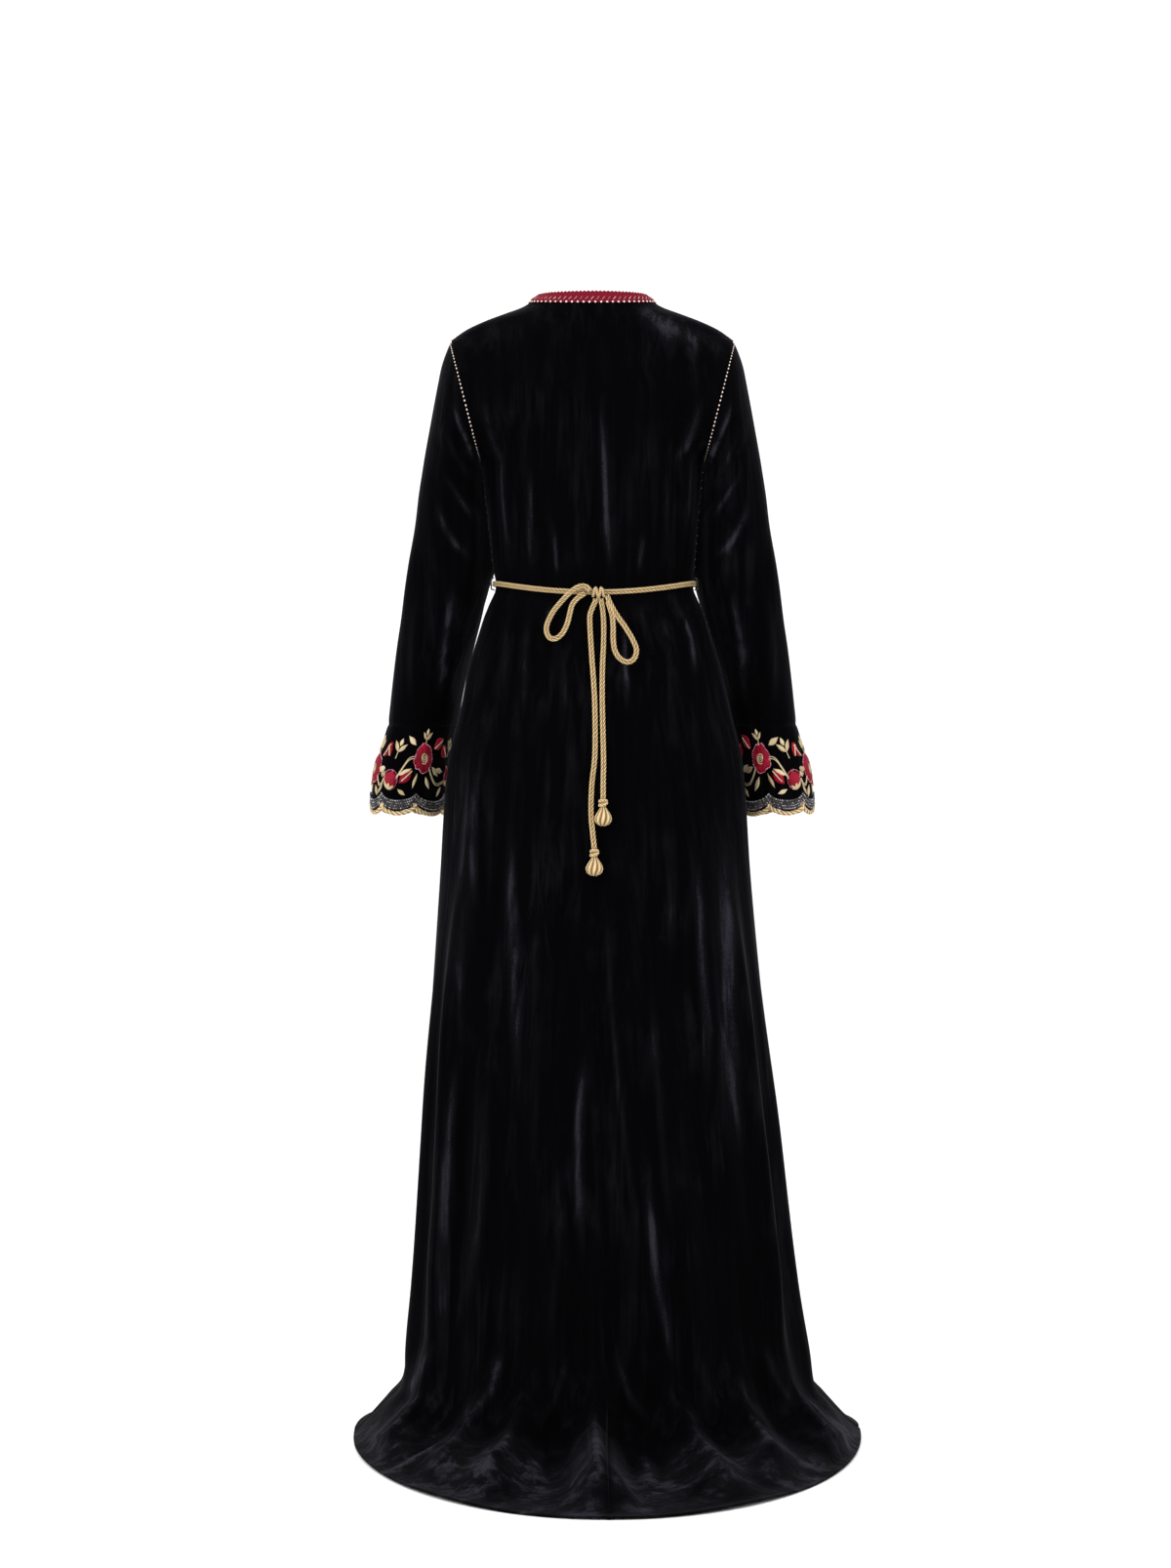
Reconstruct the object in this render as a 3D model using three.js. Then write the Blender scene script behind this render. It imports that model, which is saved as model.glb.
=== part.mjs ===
// A floor-length velvet kaftan with bell sleeves, embroidered scalloped cuffs, a corded belt and a short
// train, in the hollow form that it has when it is worn. Millimetres, +Z up. The front faces -Y, so the
// wearer's left is +X. Heights are given above the floor; the origin is at the shoulders, where it is held.
import * as THREE from 'three';

// Cloth and seams
const WALL = 1.6;
const SEAM_GAP = 0.3;
const LAID_GAP = 0.5; // under a trim laid on a panel, whose faces are flat between its columns
const HOLD_HEIGHT = 1530;

// Yoke, above the underarm
const UNDERARM = 1350;
const SHOULDER = { half: 197, height: 1517 };
const ARMHOLE_HALF_DEPTH = 78;
const SLIT = { top: 1500, foot: 1285, halfWidth: 9, fade: 55 };
// The shoulder line, from the neck out
const SHOULDER_LINE = [
  { out: 75, height: 1580 },
  { out: 96, height: 1565 },
  { out: 123, height: 1554 },
  { out: 152, height: 1543 },
  { out: 176, height: 1532 },
  { out: 192, height: 1521 },
  { out: 197, height: 1517 },
];
// Where the yoke's first rows meet the shoulder seam; the neck braid ends at the second
const SHOULDER_ROWS = [75, 88, 114, 146, 174, 197];
const ARMHOLE_ROWS = 8;
const YOKE_EVENNESS = 0.8; // how evenly the columns stand across the yoke beside the armhole
const SIDE_SEAM_TILT = 0.2; // share of its own slope that the wall keeps at the side seam
const YOKE_ROWS = SHOULDER_ROWS.length - 1 + ARMHOLE_ROWS;
// Height and depth of the yoke at centre back and centre front, by row
const BACK_MIDDLE = [
  { row: 0, height: 1578, depth: 62 },
  { row: 1, height: 1562, depth: 64 },
  { row: 5, height: 1528, depth: 74 },
  { row: 9, height: 1444, depth: 92 },
  { row: 13, height: 1350, depth: 100 },
];
const FRONT_MIDDLE = [
  { row: 0, height: 1500, depth: 78 },
  { row: 1, height: 1484.5, depth: 82 },
  { row: 5, height: 1456, depth: 92 },
  { row: 9, height: 1409, depth: 109 },
  { row: 13, height: 1350, depth: 118 },
];

// Body below the underarm, one row per ring: distance down the cloth, height at centre back and front and
// at the sides, sideways drift of the middle, half width, and depth behind and before the side seams
const BODY_RINGS = [
  { down: 0, height: 1350, sideHeight: 1350, drift: 0, half: 155.5, back: 100, front: 118 },
  { down: 75, height: 1275, sideHeight: 1275, drift: -1, half: 148, back: 97, front: 114 },
  { down: 146, height: 1204, sideHeight: 1204, drift: -2, half: 141, back: 92, front: 101 },
  { down: 178, height: 1172, sideHeight: 1172, drift: -3, half: 138, back: 90, front: 97 },
  { down: 200, height: 1150, sideHeight: 1150, drift: -3, half: 147, back: 95, front: 100 },
  { down: 223, height: 1127, sideHeight: 1127, drift: -3, half: 156, back: 103, front: 104 },
  { down: 290, height: 1060, sideHeight: 1060, drift: -3, half: 176, back: 123, front: 110 },
  { down: 352, height: 998, sideHeight: 998, drift: -4, half: 189, back: 135, front: 115 },
  { down: 420, height: 930, sideHeight: 930, drift: -4, half: 205, back: 141, front: 119 },
  { down: 588, height: 762, sideHeight: 762, drift: -5, half: 217, back: 157, front: 136 },
  { down: 772, height: 578, sideHeight: 578, drift: -7, half: 232, back: 179, front: 158 },
  { down: 955, height: 395, sideHeight: 395, drift: -11, half: 247, back: 202, front: 180 },
  { down: 1139, height: 211, sideHeight: 211, drift: -16, half: 263, back: 221, front: 199 },
  { down: 1240, height: 110, sideHeight: 112, drift: -19, half: 276, back: 231, front: 209 },
  { down: 1290, height: 62, sideHeight: 66, drift: -20, half: 284, back: 241, front: 217 },
  { down: 1334, height: 24, sideHeight: 44, drift: -20, half: 304, back: 268, front: 234 },
  { down: 1385, height: 9, sideHeight: 30, drift: -20, half: 319, back: 317, front: 256 },
  { down: 1447, height: 5, sideHeight: 19, drift: -20, half: 331, back: 379, front: 281 },
  { down: 1535, height: 3.6, sideHeight: 9, drift: -20, half: 342, back: 467, front: 308 },
  { down: 1623, height: 2.4, sideHeight: 2.4, drift: -20, half: 351, back: 555, front: 330 },
];
const HEM = BODY_RINGS[BODY_RINGS.length - 1].down;
const FLOOR_CLEARANCE = 2.2; // the least height of the cloth's upper side

// Folds of the skirt and train, one row each: angle from the centre back towards the wearer's left at the
// top and at the foot, distances down the cloth where it starts and ends, height and half width in degrees
const FOLDS = [
  { name: 'left edge', angle: 54, footAngle: 58, from: 470, to: 1330, rise: 24, spread: 4.4 },
  { name: 'left inner', angle: 36, footAngle: 38, from: 640, to: 1350, rise: 12, spread: 5 },
  { name: 'left soft', angle: 19, footAngle: 17, from: 420, to: 1290, rise: 15, spread: 5 },
  { name: 'middle', angle: 2, footAngle: 5, from: 520, to: 1290, rise: 11, spread: 3.6 },
  { name: 'right inner', angle: -7, footAngle: -14, from: 400, to: 1290, rise: 16, spread: 3.8 },
  { name: 'right soft', angle: -20, footAngle: -26, from: 620, to: 1330, rise: 15, spread: 4 },
  { name: 'right short', angle: -43, footAngle: -41, from: 420, to: 1180, rise: 11, spread: 4 },
  { name: 'right edge', angle: -54, footAngle: -58, from: 470, to: 1330, rise: 25, spread: 4.2 },
  { name: 'left side', angle: 74, footAngle: 78, from: 560, to: 1420, rise: 9, spread: 5 },
  { name: 'right side', angle: -76, footAngle: -80, from: 620, to: 1440, rise: 10, spread: 5 },
  { name: 'train tent', angle: 4, footAngle: 2, from: 1200, to: 1600, rise: 52, spread: 3.6 },
  { name: 'train left near', angle: 19, footAngle: 29, from: 1180, to: 1590, rise: 34, spread: 4.2 },
  { name: 'train left far', angle: 32, footAngle: 42, from: 1190, to: 1570, rise: 28, spread: 4.6 },
  { name: 'train left side', angle: 56, footAngle: 62, from: 1200, to: 1560, rise: 20, spread: 6 },
  { name: 'train right near', angle: -15, footAngle: -28, from: 1180, to: 1600, rise: 36, spread: 4.2 },
  { name: 'train right far', angle: -35, footAngle: -42, from: 1170, to: 1580, rise: 32, spread: 4.6 },
  { name: 'train right side', angle: -58, footAngle: -64, from: 1190, to: 1570, rise: 22, spread: 6 },
  { name: 'front middle', angle: 176, footAngle: 178, from: 420, to: 1560, rise: 15, spread: 5 },
  { name: 'front left inner', angle: 157, footAngle: 150, from: 480, to: 1570, rise: 17, spread: 5 },
  { name: 'front left outer', angle: 126, footAngle: 122, from: 440, to: 1540, rise: 18, spread: 5.4 },
  { name: 'front left side', angle: 103, footAngle: 101, from: 620, to: 1500, rise: 9, spread: 5 },
  { name: 'front right inner', angle: -155, footAngle: -152, from: 520, to: 1570, rise: 16, spread: 5 },
  { name: 'front right outer', angle: -128, footAngle: -124, from: 460, to: 1540, rise: 18, spread: 5.4 },
  { name: 'front right side', angle: -102, footAngle: -100, from: 600, to: 1500, rise: 9, spread: 5 },
];

// Sleeves, one row per ring: where its outer and inner lines cross it, how far its middle stands behind
// the side seam, how far the inner line stands before the middle, and its half depth. The last row of the
// sleeve is the first of the cuff
const SLEEVE_RINGS = [
  { outerX: 197, outerZ: 1517, innerX: 155.5, innerZ: 1350, middleY: 0, skew: 0, depth: 78 },
  { outerX: 209, outerZ: 1486, innerX: 156.2, innerZ: 1335, middleY: -6, skew: 2, depth: 77 },
  { outerX: 216, outerZ: 1455, innerX: 154, innerZ: 1310, middleY: -14, skew: 6, depth: 76 },
  { outerX: 226, outerZ: 1402, innerX: 150.5, innerZ: 1270, middleY: -19, skew: 9, depth: 76 },
  { outerX: 236, outerZ: 1345, innerX: 148, innerZ: 1232, middleY: -21, skew: 10, depth: 76 },
  { outerX: 246, outerZ: 1270, innerX: 147, innerZ: 1192, middleY: -24, skew: 11, depth: 77 },
  { outerX: 256, outerZ: 1204, innerX: 152, innerZ: 1150, middleY: -28, skew: 12, depth: 77 },
  { outerX: 267, outerZ: 1128, innerX: 165, innerZ: 1098, middleY: -37, skew: 14, depth: 78 },
  { outerX: 278, outerZ: 1056, innerX: 179, innerZ: 1044, middleY: -47, skew: 16, depth: 78 },
  { outerX: 287, outerZ: 984, innerX: 191, innerZ: 980, middleY: -57, skew: 18, depth: 77 },
];
const CUFF_RINGS = [
  { outerX: 287, outerZ: 984, innerX: 191, innerZ: 980, middleY: -57, skew: 18, depth: 77 },
  { outerX: 295, outerZ: 957, innerX: 196, innerZ: 953, middleY: -60, skew: 19, depth: 77.5 },
  { outerX: 304, outerZ: 925, innerX: 200, innerZ: 921, middleY: -63, skew: 20, depth: 79 },
  { outerX: 309.5, outerZ: 896, innerX: 202, innerZ: 892, middleY: -65, skew: 20, depth: 80 },
  { outerX: 311, outerZ: 870, innerX: 203, innerZ: 866, middleY: -66, skew: 20, depth: 80.5 },
];
// Soft creases of a sleeve: angle round it from its outer line towards the back, and where along it
const SLEEVE_FOLDS = [
  { angle: 62, footAngle: 78, from: 0.9, to: 5.4, rise: 6, spread: 13 },
  { angle: 128, footAngle: 112, from: 2.0, to: 8.6, rise: 7, spread: 13 },
  { angle: 30, footAngle: 22, from: 3.4, to: 8.8, rise: 4, spread: 14 },
  { angle: 236, footAngle: 250, from: 1.6, to: 8.2, rise: 7, spread: 14 },
  { angle: 300, footAngle: 286, from: 0.9, to: 5.8, rise: 6, spread: 14 },
];
const SCALLOP = { count: 8, depth: 17, columns: 5, firstCusp: 0.15, below: 0.35, roundness: 0.97 };
const CUFF_BRAID = { width: 12.5, thick: 2, foot: 1.5 };
const CUFF_CORD = { radius: 3.2, sides: 6, mitre: 0.6 };

// Raised embroidery of a cuff: share of the way round from the outer line, height share from the seam to
// the scallops, radius and rise
const FLOWERS = [
  { round: 0.27, down: 0.4, radius: 17, rise: 2 },
  { round: 0.07, down: 0.5, radius: 17, rise: 2 },
  { round: 0.165, down: 0.62, radius: 12, rise: 1.6 },
  { round: 0.4, down: 0.6, radius: 12, rise: 1.6 },
  { round: 0.52, down: 0.4, radius: 17, rise: 2 },
  { round: 0.645, down: 0.6, radius: 12, rise: 1.6 },
  { round: 0.77, down: 0.4, radius: 17, rise: 2 },
  { round: 0.9, down: 0.58, radius: 12, rise: 1.6 },
];

// Braid round the neck and down the slit
const BAND = { width: 16, thick: 1.8, slitWidth: 12, rest: 0.7 };

// Belt: a flat pair of cords, its height at the sides and how far it dips at the back
const BELT = { tall: 7.6, thick: 3.8, height: 1179, backDip: 17, frontDip: 4, rest: 0.9 };
const KNOT = { x: -8, height: 1161, wide: 19, tall: 15, deep: 12, sides: 12 };
const CARRIER = { tall: 17, thick: 1.8, sides: 6, rest: 1.25, reach: 6 };
// Bow and tails: the same pair of cords, and how far they stay from the cloth
const CORD = { wide: 7.4, thick: 4.2, sides: 8, rest: 1.2 };
const LOOP_LIFT = { ends: 5, middle: 6 };

// Centre lines of the bow loops and tails, from the knot: distance left of the middle, and height
const LOOP_LEFT = [
  [2.9, 1163], [9, 1169], [18, 1169], [28, 1163], [40, 1151], [53, 1135], [61, 1119], [62.5, 1108],
  [58.5, 1099], [51, 1097], [42, 1103], [35, 1116], [31, 1131], [27.5, 1144], [20, 1153.5], [11, 1159.5],
];
const LOOP_RIGHT = [
  [-19.6, 1157], [-25, 1144], [-34, 1128], [-44.5, 1113], [-54.5, 1096], [-59.5, 1082], [-56.5, 1070],
  [-48, 1065], [-38, 1069], [-30.5, 1080], [-28, 1096], [-28, 1113], [-26.5, 1130], [-21, 1148],
];
const TAIL_LEFT = [
  [-4, 1153], [-4, 1149], [0, 1140], [3.4, 1129], [3.2, 1110], [1, 1074], [-1.4, 1040], [-3, 1010],
  [-3.6, 970], [-3, 935], [0.6, 902], [1.8, 880], [1.8, 858], [0.2, 838], [-2.4, 813],
];
const TAIL_RIGHT = [
  [-12, 1153], [-12, 1149], [-13.6, 1140], [-14.8, 1129], [-15.4, 1112], [-15, 1090], [-13.4, 1054],
  [-13.2, 1010], [-14.8, 935], [-14.4, 906], [-14.2, 880],
];
const TASSEL = { knotWide: 14, knotTall: 9, bulbWide: 23, bulbTall: 26, sides: 10 };

// Mesh density
const BACK_COLUMNS = 16;
const FRONT_COLUMNS = 10;
const SLEEVE_COLUMNS = 16;
const BODY_STEPS = [
  40, 80, 120, 150, 168, 180, 192, 207, 235, 290, 352, 430, 520, 610, 700, 790, 880, 970, 1050, 1130,
  1195, 1245, 1290, 1320, 1355, 1400, 1450, 1510, 1570, HEM,
];
const FRONT_STEPS = [
  50, 100, 150, 168, 180, 192, 207, 235, 290, 352, 430, 560, 700, 840, 970, 1090, 1190, 1260, 1310, 1360,
  1430, 1520, HEM,
];

const velvet = () => new THREE.MeshStandardMaterial({ color: 0x0b0a0f, roughness: 0.95, metalness: 0 });
const crimson = () => new THREE.MeshStandardMaterial({ color: 0xa01030, roughness: 0.7, metalness: 0 });
const gold = () => new THREE.MeshStandardMaterial({ color: 0xcdb07a, roughness: 0.55, metalness: 0.1 });
const beaded = () => new THREE.MeshStandardMaterial({ color: 0x4a4446, roughness: 0.45, metalness: 0.2 });
const thread = () => new THREE.MeshStandardMaterial({ color: 0x1b1a1e, roughness: 0.9, metalness: 0 });

const DEGREE = Math.PI / 180;
const DOWNWARD = new THREE.Vector3(0, 0, -1);
const TINY = 1e-3;

// Smooth value of one column of a table at a place along another, through every row
function column(rows, key, at, field) {
  let i = 0;
  while (i < rows.length - 2 && at > rows[i + 1][key]) i += 1;
  const [a, b] = [rows[i], rows[i + 1]];
  const before = rows[Math.max(i - 1, 0)];
  const after = rows[Math.min(i + 2, rows.length - 1)];
  const span = b[key] - a[key];
  const slopeA = (b[field] - before[field]) / (b[key] - before[key]);
  const slopeB = (after[field] - a[field]) / (after[key] - a[key]);
  const s = THREE.MathUtils.clamp((at - a[key]) / span, 0, 1);
  const s2 = s * s;
  const s3 = s2 * s;
  return a[field] * (2 * s3 - 3 * s2 + 1) + b[field] * (3 * s2 - 2 * s3)
    + slopeA * span * (s3 - 2 * s2 + s) + slopeB * span * (s3 - s2);
}

// Sleeve and cuff tables are read by row number
const numbered = (rows) => rows.map((row, index) => ({ ...row, index }));
const sleeveRows = numbered(SLEEVE_RINGS);
const cuffRows = numbered(CUFF_RINGS);

// A bump that is 1 at its middle and falls away within about twice its spread
const bell = (offset, spread) => Math.exp(-0.5 * (offset / spread) ** 2);

// Turns an angle into the range from -180 to 180 degrees
const wrapAngle = (angle) => angle - 360 * Math.round(angle / 360);

// How strong a fold is at a place between its two ends, rising over the first third
function foldStrength(at, from, to) {
  const s = (at - from) / (to - from);
  if (s <= 0 || s >= 1) return 0;
  return THREE.MathUtils.smoothstep(s, 0, 0.4) * (1 - THREE.MathUtils.smoothstep(s, 0.72, 1));
}

// Height of all the folds in a table at a place and an angle
function foldRise(folds, at, angle) {
  let rise = 0;
  for (const fold of folds) {
    const strength = foldStrength(at, fold.from, fold.to);
    if (strength === 0) continue;
    const s = (at - fold.from) / (fold.to - fold.from);
    const middle = THREE.MathUtils.lerp(fold.angle, fold.footAngle, s);
    rise += fold.rise * strength * bell(wrapAngle(angle - middle), fold.spread);
  }
  return rise;
}

// The body below the underarm, without folds: angle 0 is centre back, 90 the wearer's left side seam
function bodyRing(down, angle) {
  const at = (field) => column(BODY_RINGS, 'down', down, field);
  const [sine, cosine] = [Math.sin(angle * DEGREE), Math.cos(angle * DEGREE)];
  const depth = cosine > 0 ? at('back') : at('front');
  const height = THREE.MathUtils.lerp(at('height'), at('sideHeight'), sine * sine);
  return new THREE.Vector3(at('drift') + at('half') * sine, depth * cosine, height);
}

// The body below the underarm with its folds, moved out square to the cloth
function bodyPoint(down, angle) {
  const point = bodyRing(down, angle);
  const rise = foldRise(FOLDS, down, angle);
  if (rise > 0) {
    const across = bodyRing(down, angle + 1).sub(bodyRing(down, angle - 1));
    const along = bodyRing(Math.min(down + 4, HEM), angle).sub(bodyRing(Math.max(down - 4, 0), angle));
    point.addScaledVector(across.cross(along).normalize(), rise);
  }
  point.z = Math.max(point.z, FLOOR_CLEARANCE);
  return point;
}

// The edge of a yoke row: on the shoulder seam first, then down the armhole
function yokeEdge(row) {
  const last = SHOULDER_ROWS.length - 1;
  if (row < last) {
    const k = Math.floor(row);
    const out = THREE.MathUtils.lerp(SHOULDER_ROWS[k], SHOULDER_ROWS[k + 1], row - k);
    return { out, depth: 0, height: column(SHOULDER_LINE, 'out', out, 'height'), openness: 0 };
  }
  const phi = Math.PI * Math.min((row - last) / ARMHOLE_ROWS, 1);
  const share = (1 - Math.cos(phi)) / 2;
  return {
    out: THREE.MathUtils.lerp(SHOULDER.half, BODY_RINGS[0].half, share),
    depth: ARMHOLE_HALF_DEPTH * Math.sin(phi),
    height: THREE.MathUtils.lerp(SHOULDER.height, UNDERARM, share),
    openness: Math.sin(phi),
  };
}

// One point of the yoke: rows run from the neckline to the underarm, u from the centre to the seams
function yokePoint(isBack, side, u, row) {
  const edge = yokeEdge(row);
  const middle = isBack ? BACK_MIDDLE : FRONT_MIDDLE;
  const middleHeight = column(middle, 'row', row, 'height');
  const middleDepth = column(middle, 'row', row, 'depth');
  const share = THREE.MathUtils.lerp(Math.sin(u * Math.PI / 2), u, edge.openness * YOKE_EVENNESS);
  const inward = Math.max(1 - share * share, 0);
  const depth = edge.depth + (middleDepth - edge.depth) * inward ** ((1 + edge.openness) / 2);
  const steepness = THREE.MathUtils.clamp(row / (SHOULDER_ROWS.length - 1), 0, 1);
  const height = edge.height + (middleHeight - edge.height) * inward ** ((1 + steepness) / 2);
  let out = edge.out * share;
  if (!isBack) out += slitShift(height, out);
  return new THREE.Vector3(side * out, isBack ? depth : -depth, height);
}

// How far the front edge stands open beside the neck slit
function slitShift(height, out) {
  const rise = THREE.MathUtils.clamp((height - SLIT.foot) / (SLIT.top - SLIT.foot), 0, 1);
  return SLIT.halfWidth * rise * Math.max(1 - out / SLIT.fade, 0);
}

// The whole body: level is -1 at the top edge, 0 at the underarm, and the distance down the cloth below it
function surface(level, angle, isBack) {
  if (level >= 0) return bodyPoint(level, wrapAngle(angle));
  const side = angle < 0 ? -1 : 1;
  const u = (isBack ? Math.abs(angle) : 180 - Math.abs(angle)) / 90;
  return yokePoint(isBack, side, u, (1 + level) * YOKE_ROWS);
}

// Direction out of the cloth, from the slopes of the surface
function surfaceNormal(level, angle, isBack) {
  const edge = isBack ? 0 : 180;
  const reach = level < 0 ? 0.01 : 2;
  const above = level < 0 ? Math.max(level - reach, -1) : Math.max(level - reach, 0);
  const below = level < 0 ? Math.min(level + reach, -TINY) : Math.min(level + reach, HEM);
  let [lower, upper] = [angle - 0.6, angle + 0.6];
  if (level < 0) {
    const middle = isBack ? 0 : Math.sign(angle) * 135;
    const half = isBack ? 90 : 45;
    lower = Math.max(lower, middle - half);
    upper = Math.min(upper, middle + half);
  }
  const along = surface(below, angle, isBack).sub(surface(above, angle, isBack));
  const across = surface(level, upper, isBack).sub(surface(level, lower, isBack));
  const normal = across.cross(along).normalize();
  if (level < 0 && Math.abs(Math.abs(angle) - edge) < TINY) normal.setX(0).normalize();
  return normal;
}

// Direction out of both walls at the armhole seam, in the plane of its loop
function armholeRadial(side, phi) {
  const spread = new THREE.Vector3(SHOULDER.half - BODY_RINGS[0].half, 0, SHOULDER.height - UNDERARM);
  const halfTall = spread.length() / 2;
  spread.normalize();
  const radial = new THREE.Vector3(spread.x * Math.cos(phi) / halfTall, Math.sin(phi) / ARMHOLE_HALF_DEPTH,
    spread.z * Math.cos(phi) / halfTall).normalize();
  const low = Math.max(-Math.cos(phi), 0) ** 4;
  radial.lerp(DOWNWARD, low).normalize();
  radial.x *= side;
  return radial;
}

// Direction from the body into the sleeve, square to the armhole's loop
function armholeOutward(side) {
  const tall = new THREE.Vector3(side * (SHOULDER.half - BODY_RINGS[0].half), 0, SHOULDER.height - UNDERARM);
  return tall.cross(new THREE.Vector3(0, -side, 0)).normalize();
}

// The two triangles of a four-cornered face, split along its shorter diagonal
function splitQuad(positions, a, b, c, d) {
  const [atA, atB, atC, atD] = [a, b, c, d].map((k) => new THREE.Vector3().fromArray(positions, k * 3));
  return atA.distanceTo(atC) <= atB.distanceTo(atD) + TINY ? [a, b, c, a, c, d] : [b, c, d, b, d, a];
}

// A closed solid between an outer and an inner grid of points; closed grids join their last column and row
function solidFromGrids(outer, inner, wrapColumns) {
  const rows = outer.length;
  const columns = outer[0].length;
  const positions = [];
  for (const grid of [outer, inner]) {
    for (const row of grid) for (const point of row) positions.push(point.x, point.y, point.z);
  }
  const offset = rows * columns;
  const index = [];
  const at = (layer, i, j) => layer * offset + i * columns + (j % columns);
  const quad = (a, b, c, d) => index.push(...splitQuad(positions, a, b, c, d));
  const lastColumn = wrapColumns ? columns : columns - 1;
  for (let i = 0; i < rows - 1; i += 1) {
    for (let j = 0; j < lastColumn; j += 1) {
      quad(at(0, i, j), at(0, i + 1, j), at(0, i + 1, j + 1), at(0, i, j + 1));
      quad(at(1, i, j), at(1, i, j + 1), at(1, i + 1, j + 1), at(1, i + 1, j));
    }
  }
  for (let j = 0; j < lastColumn; j += 1) {
    quad(at(0, 0, j), at(0, 0, j + 1), at(1, 0, j + 1), at(1, 0, j));
    quad(at(0, rows - 1, j), at(1, rows - 1, j), at(1, rows - 1, j + 1), at(0, rows - 1, j + 1));
  }
  if (!wrapColumns) {
    for (let i = 0; i < rows - 1; i += 1) {
      quad(at(0, i, 0), at(1, i, 0), at(1, i + 1, 0), at(0, i + 1, 0));
      const end = columns - 1;
      quad(at(0, i, end), at(0, i + 1, end), at(1, i + 1, end), at(1, i, end));
    }
  }
  return orientedGeometry(positions, index);
}

// A closed solid swept round a loop, one ring of section points for each station
function solidFromLoop(stations) {
  const sides = stations[0].length;
  const positions = stations.flatMap((ring) => ring.flatMap((point) => [point.x, point.y, point.z]));
  const index = [];
  stations.forEach((ring, i) => {
    const next = (i + 1) % stations.length;
    for (let j = 0; j < sides; j += 1) {
      const k = (j + 1) % sides;
      const corners = [i * sides + j, next * sides + j, next * sides + k, i * sides + k];
      index.push(...splitQuad(positions, ...corners));
    }
  });
  return orientedGeometry(positions, index);
}

// Makes the geometry, with its faces pointing out of the solid
function orientedGeometry(positions, index) {
  let volume = 0;
  const corner = (k) => new THREE.Vector3().fromArray(positions, index[k] * 3);
  for (let k = 0; k < index.length; k += 3) volume += corner(k).dot(corner(k + 1).cross(corner(k + 2)));
  const faces = volume > 0 ? index : index.slice().reverse();
  const geometry = new THREE.BufferGeometry();
  geometry.setAttribute('position', new THREE.Float32BufferAttribute(positions, 3));
  geometry.setIndex(faces);
  geometry.computeVertexNormals();
  return geometry;
}

const kaftan = new THREE.Group();
kaftan.position.z = -HOLD_HEIGHT;

function addMesh(name, geometry, material) {
  const mesh = new THREE.Mesh(geometry, material);
  mesh.name = name;
  kaftan.add(mesh);
}

// The levels of a panel's rows, from its top edge to the hem
function panelLevels(steps) {
  const levels = [];
  for (let k = 0; k < YOKE_ROWS; k += 1) levels.push(k / YOKE_ROWS - 1);
  return [...levels, 0, ...steps];
}

// One corner pair of a panel's wall: its outer point and its inner point
function panelPair(isBack, side, level, u) {
  const angle = side * (isBack ? u * 90 : 180 - u * 90);
  const armholeRow = (1 + level) * YOKE_ROWS - (SHOULDER_ROWS.length - 1);
  const atEdge = u > 1 - TINY;
  const atArmhole = atEdge && level <= 0 && armholeRow > -TINY;
  const atShoulder = atEdge && armholeRow < TINY;
  const backward = isBack ? 1 : -1;
  const outer = surface(level, angle, isBack);
  let normal;
  if (atArmhole) {
    normal = armholeRadial(side, Math.PI * armholeRow / ARMHOLE_ROWS);
    normal.y *= backward;
    outer.addScaledVector(armholeOutward(side), -SEAM_GAP / 2);
  } else {
    normal = surfaceNormal(level, angle, isBack);
    if (atShoulder) normal.setY(0).normalize();
    if (atEdge && level > 0) normal.setY(normal.y * SIDE_SEAM_TILT).normalize();
  }
  if (atShoulder || (atEdge && level >= 0)) outer.y += backward * SEAM_GAP / 2;
  if (u < TINY) outer.x += side * SEAM_GAP / 2;
  return { outer, inner: outer.clone().addScaledVector(normal, -WALL), normal };
}

function buildPanel(name, isBack, side) {
  const columns = isBack ? BACK_COLUMNS : FRONT_COLUMNS;
  const levels = panelLevels(isBack ? BODY_STEPS : FRONT_STEPS);
  const outer = [];
  const inner = [];
  for (const level of levels) {
    const pairs = [];
    for (let j = 0; j <= columns; j += 1) pairs.push(panelPair(isBack, side, level, j / columns));
    outer.push(pairs.map((pair) => pair.outer));
    inner.push(pairs.map((pair) => pair.inner));
  }
  addMesh(name, solidFromGrids(outer, inner, false), velvet());
}

// A sleeve or cuff ring: phi 0 is its outer line, 90 the back
function tubePoint(rows, folds, side, at, phi) {
  const value = (field) => column(rows, 'index', at, field);
  const [sine, cosine] = [Math.sin(phi * DEGREE), Math.cos(phi * DEGREE)];
  const middleX = (value('outerX') + value('innerX')) / 2;
  const middleZ = (value('outerZ') + value('innerZ')) / 2;
  const halfX = (value('outerX') - value('innerX')) / 2;
  const halfZ = (value('outerZ') - value('innerZ')) / 2;
  const rise = foldRise(folds, at, phi);
  const grow = 1 + rise / Math.hypot(halfX, halfZ);
  const depth = value('depth') + rise;
  const skew = value('skew') * cosine;
  return new THREE.Vector3(side * (middleX + halfX * cosine * grow), value('middleY') + skew + depth * sine,
    middleZ + halfZ * cosine * grow);
}

function tubeNormal(rows, folds, side, at, phi) {
  const last = rows.length - 1;
  const along = tubePoint(rows, folds, side, Math.min(at + 0.05, last), phi)
    .sub(tubePoint(rows, folds, side, Math.max(at - 0.05, 0), phi));
  const across = tubePoint(rows, folds, side, at, phi + 1).sub(tubePoint(rows, folds, side, at, phi - 1));
  return along.cross(across).multiplyScalar(side).normalize();
}

// Shifts the seam ring between sleeve and cuff half the gap, square to its plane
function seamShift(side) {
  const row = CUFF_RINGS[0];
  const across = new THREE.Vector3(side * (row.outerX - row.innerX), 0, row.outerZ - row.innerZ);
  return across.cross(new THREE.Vector3(0, side, 0)).normalize().multiplyScalar(SEAM_GAP / 2);
}

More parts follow.
